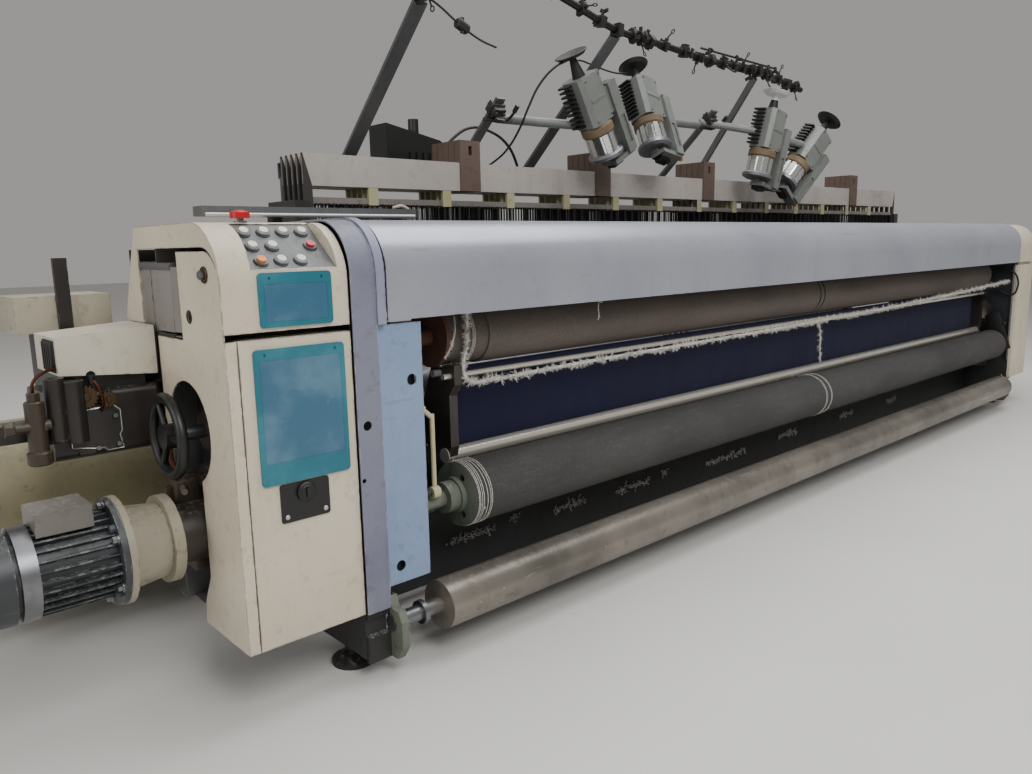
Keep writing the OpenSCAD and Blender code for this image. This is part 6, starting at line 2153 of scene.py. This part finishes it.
@dataclass(frozen=True)
class ButtonRims(Piece):
    """The dark rims that stand round the push buttons on the sloping plate.

    Attributes:
        foot: Lower edge of the slope, in y and z.
        run: Length of the slope in y.
        rise: Length of the slope in z.
        radius: Radius of a rim, a little more than that of a button's cap.
        thick: Radius of the rim's round section.
    """

    foot: tuple[float, float] = (-896.0, 1097.0)
    run: float = 134.0
    rise: float = 107.0
    radius: float = 14.6
    thick: float = 3.2

    def build(self) -> None:
        """Turns one rim and sets a copy on the slope round each button."""
        tilt = math.atan2(self.rise, self.run)
        up = Vector((0.0, -math.sin(tilt), math.cos(tilt)))
        base = Vector((0.0, *self.foot))
        model = Bench.ring("rim", (0, 0, 0), Axis.Z, self.radius, self.thick, 32)
        rims = []
        for number in range(1, 11):
            low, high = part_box(f"button_{number}")
            centre = (low + high) / 2 / MM
            seat = centre - up * (centre - base).dot(up)
            place = Matrix.Translation(seat * MM) @ Matrix.Rotation(tilt, 4, "X")
            rims.append(Bench.copy(model, f"rim_{number}", place))
        Bench.remove(model)
        Bench.group("button_rims", BLACK, rims)


@dataclass(frozen=True)
class RailFittings(Piece):
    """The round bar along the grey rail and the pale bent hook at its end.

    Attributes:
        bar: Left and right end of the bar.
        bar_radius: Its radius.
        hook: Points of the hook.
        hook_radius: Radius of its wire.
    """

    bar: tuple[Point, Point] = ((-2655, -499, 1234), (-1990, -499, 1234))
    bar_radius: float = 6.0
    hook: tuple[Point, ...] = (
        (-2050, -470, 1262), (-2010, -472, 1266), (-1990, -474, 1250), (-1980, -476, 1224),
        (-1976, -478, 1206),
    )
    hook_radius: float = 4.5

    def build(self) -> None:
        """Lays the bar under the rail's front edge and bends the hook."""
        Bench.done(Bench.rod("rail_bar", *self.bar, self.bar_radius, 14), BAR_GREY)
        Bench.done(Bench.strand("rail_hook", self.hook, self.hook_radius), LINEN_WHITE)


@dataclass(frozen=True)
class EndStrip(Piece):
    """The pale steel strip and the dark journal plate at the right end of the roller space.

    Attributes:
        plate: Lowest and highest corner of the journal plate before it leans.
        lean: Its lean about X, in radians.
        bolts: Places of its bolts, in y and z.
        strip: Lowest and highest corner of the strip.
        screw_x: Place of the strip's screws across it.
        screw_z: Heights of these screws.
    """

    plate: tuple[Point, Point] = ((2500, -880, 372), (2508, -790, 628))
    lean: float = -0.35
    bolts: tuple[tuple[int, int], ...] = ((-870, 560), (-800, 430))
    strip: tuple[Point, Point] = ((2560, -885, 312), (2579, -880.4, 932))
    screw_x: int = 2569
    screw_z: tuple[int, ...] = (340, 620, 900)

    def build(self) -> None:
        """Adds the strip with three screws and the leaning plate with its two bolts."""
        plate = [Bench.block("journal_plate", *self.plate, 2.0, (self.lean, 0.0, 0.0))]
        plate += [
            Bench.rod(f"plate_bolt_{z}", (2490, y, z), (2512, y, z), 10.0, 6) for y, z in self.bolts
        ]
        Bench.group("journal_plate", IRON_BLACK, plate)
        strip = Bench.block("end_strip", *self.strip, 1.0)
        screws = [
            Bench.rod(f"strip_screw_{z}", (self.screw_x, -888, z), (self.screw_x, -884, z), 5.0, 6)
            for z in self.screw_z
        ]
        Bench.group("right_end_strip", STEEL_GREY, [strip, *screws])


PIECES: tuple[Piece, ...] = (
    WasteRope(), *CABLES, *LOOSE_ENDS, ClothWeb(), *YARN_BANDS, Lint(), Healds(), PipeFittings(),
    ArmClamps(), FeederFittings(), ColumnFittings(), PickingFittings(), DriveFittings(),
    ButtonRims(), EndStrip(), RailFittings(),
)


# Scene


@dataclass(frozen=True)
class Lamp:
    """A large soft lamp.

    Attributes:
        name: Name of the lamp.
        place: Where it stands, in metres.
        target: Where it points.
        size: Width of its face.
        power: Its power in watts.
    """

    name: str
    place: Point
    target: Point
    size: float
    power: float

    def build(self) -> None:
        """Hangs the lamp and turns it to its target."""
        data = bpy.data.lights.new(self.name, "AREA")
        data.size, data.energy = self.size, self.power
        lamp = bpy.data.objects.new(self.name, data)
        lamp.location = self.place
        aim = Vector(self.target) - Vector(self.place)
        lamp.rotation_euler = aim.to_track_quat("-Z", "Y").to_euler()
        bpy.context.collection.objects.link(lamp)


@dataclass(frozen=True)
class Studio:
    """Floor, light and the camera at the photograph's place.

    Attributes:
        eye: Place of the camera, in metres.
        ahead: Direction in which it looks.
        right: Direction of its right side.
        lens: Focal length in mm.
        sensor: Width of the sensor in mm.
        room: Colour of the room.
        room_light: How bright the room is.
        floor_tones: The floor's two tones.
        lamps: The lamps.
    """

    eye: Point = (-3.520, -2.630, 1.142)
    ahead: Point = (0.665, 0.727, -0.174)
    right: Point = (0.735, -0.677, -0.020)
    lens: float = 28.22
    sensor: float = 36.0
    room: str = "ebe9e5"
    room_light: float = 0.42
    floor_tones: tuple[str, str] = ("c9c8c4", "d4d3cf")
    lamps: tuple[Lamp, ...] = (
        Lamp("key_lamp", (-3.0, -6.5, 6.0), (0.0, -0.6, 0.9), 4.0, 420.0),
        Lamp("roof_lamp", (1.0, -0.5, 6.5), (0.5, -0.5, 0.5), 6.0, 430.0),
        Lamp("side_lamp", (-8.5, -0.5, 3.5), (-2.0, -0.5, 0.8), 4.0, 170.0),
    )

    def build(self) -> None:
        """Makes the floor, the room and the lamps."""
        self.floor()
        self.walls()
        for lamp in self.lamps:
            lamp.build()

    def floor(self) -> None:
        """Adds a pale plain floor."""
        bpy.ops.mesh.primitive_plane_add(size=60.0, location=(0.0, 0.0, 0.0))
        floor = bpy.context.object
        floor.name = "studio_floor"
        s = Shader("studio_floor_paint")
        tones = [linear(tone) for tone in self.floor_tones]
        colour = s.mix(s.noise(Wave.FLOOR, 3.0), *tones)
        floor.data.materials.append(s.close(Base_Color=colour, Roughness=0.75))

    def walls(self) -> None:
        """Fills the room with even light."""
        world = bpy.data.worlds.new("studio_room")
        world.use_nodes = True
        background = world.node_tree.nodes["Background"]
        background.inputs["Color"].default_value = linear(self.room)
        background.inputs["Strength"].default_value = self.room_light
        bpy.context.scene.world = world

    def camera(self) -> None:
        """Adds the camera at the photograph's angle."""
        data = bpy.data.cameras.new("photo_camera")
        data.sensor_width, data.lens = self.sensor, self.lens
        data.clip_start, data.clip_end = 0.05, 100.0
        camera = bpy.data.objects.new("photo_camera", data)
        back = -Vector(self.ahead).normalized()
        right = Vector(self.right)
        right = (right - right.dot(back) * back).normalized()
        turn = Matrix((right, back.cross(right), back)).transposed().to_4x4()
        camera.matrix_world = Matrix.Translation(self.eye) @ turn
        bpy.context.collection.objects.link(camera)
        bpy.context.scene.camera = camera


def main() -> None:
    """Dresses the whole loom and sets up the studio."""
    logging.basicConfig(level=logging.INFO, format="%(name)s: %(message)s")
    bpy.ops.object.select_all(action="DESELECT")
    studio = Studio()
    studio.camera()
    for piece in PIECES:
        piece.build()
    LoomFinishes().build()
    studio.build()


if __name__ == "__main__":
    main()
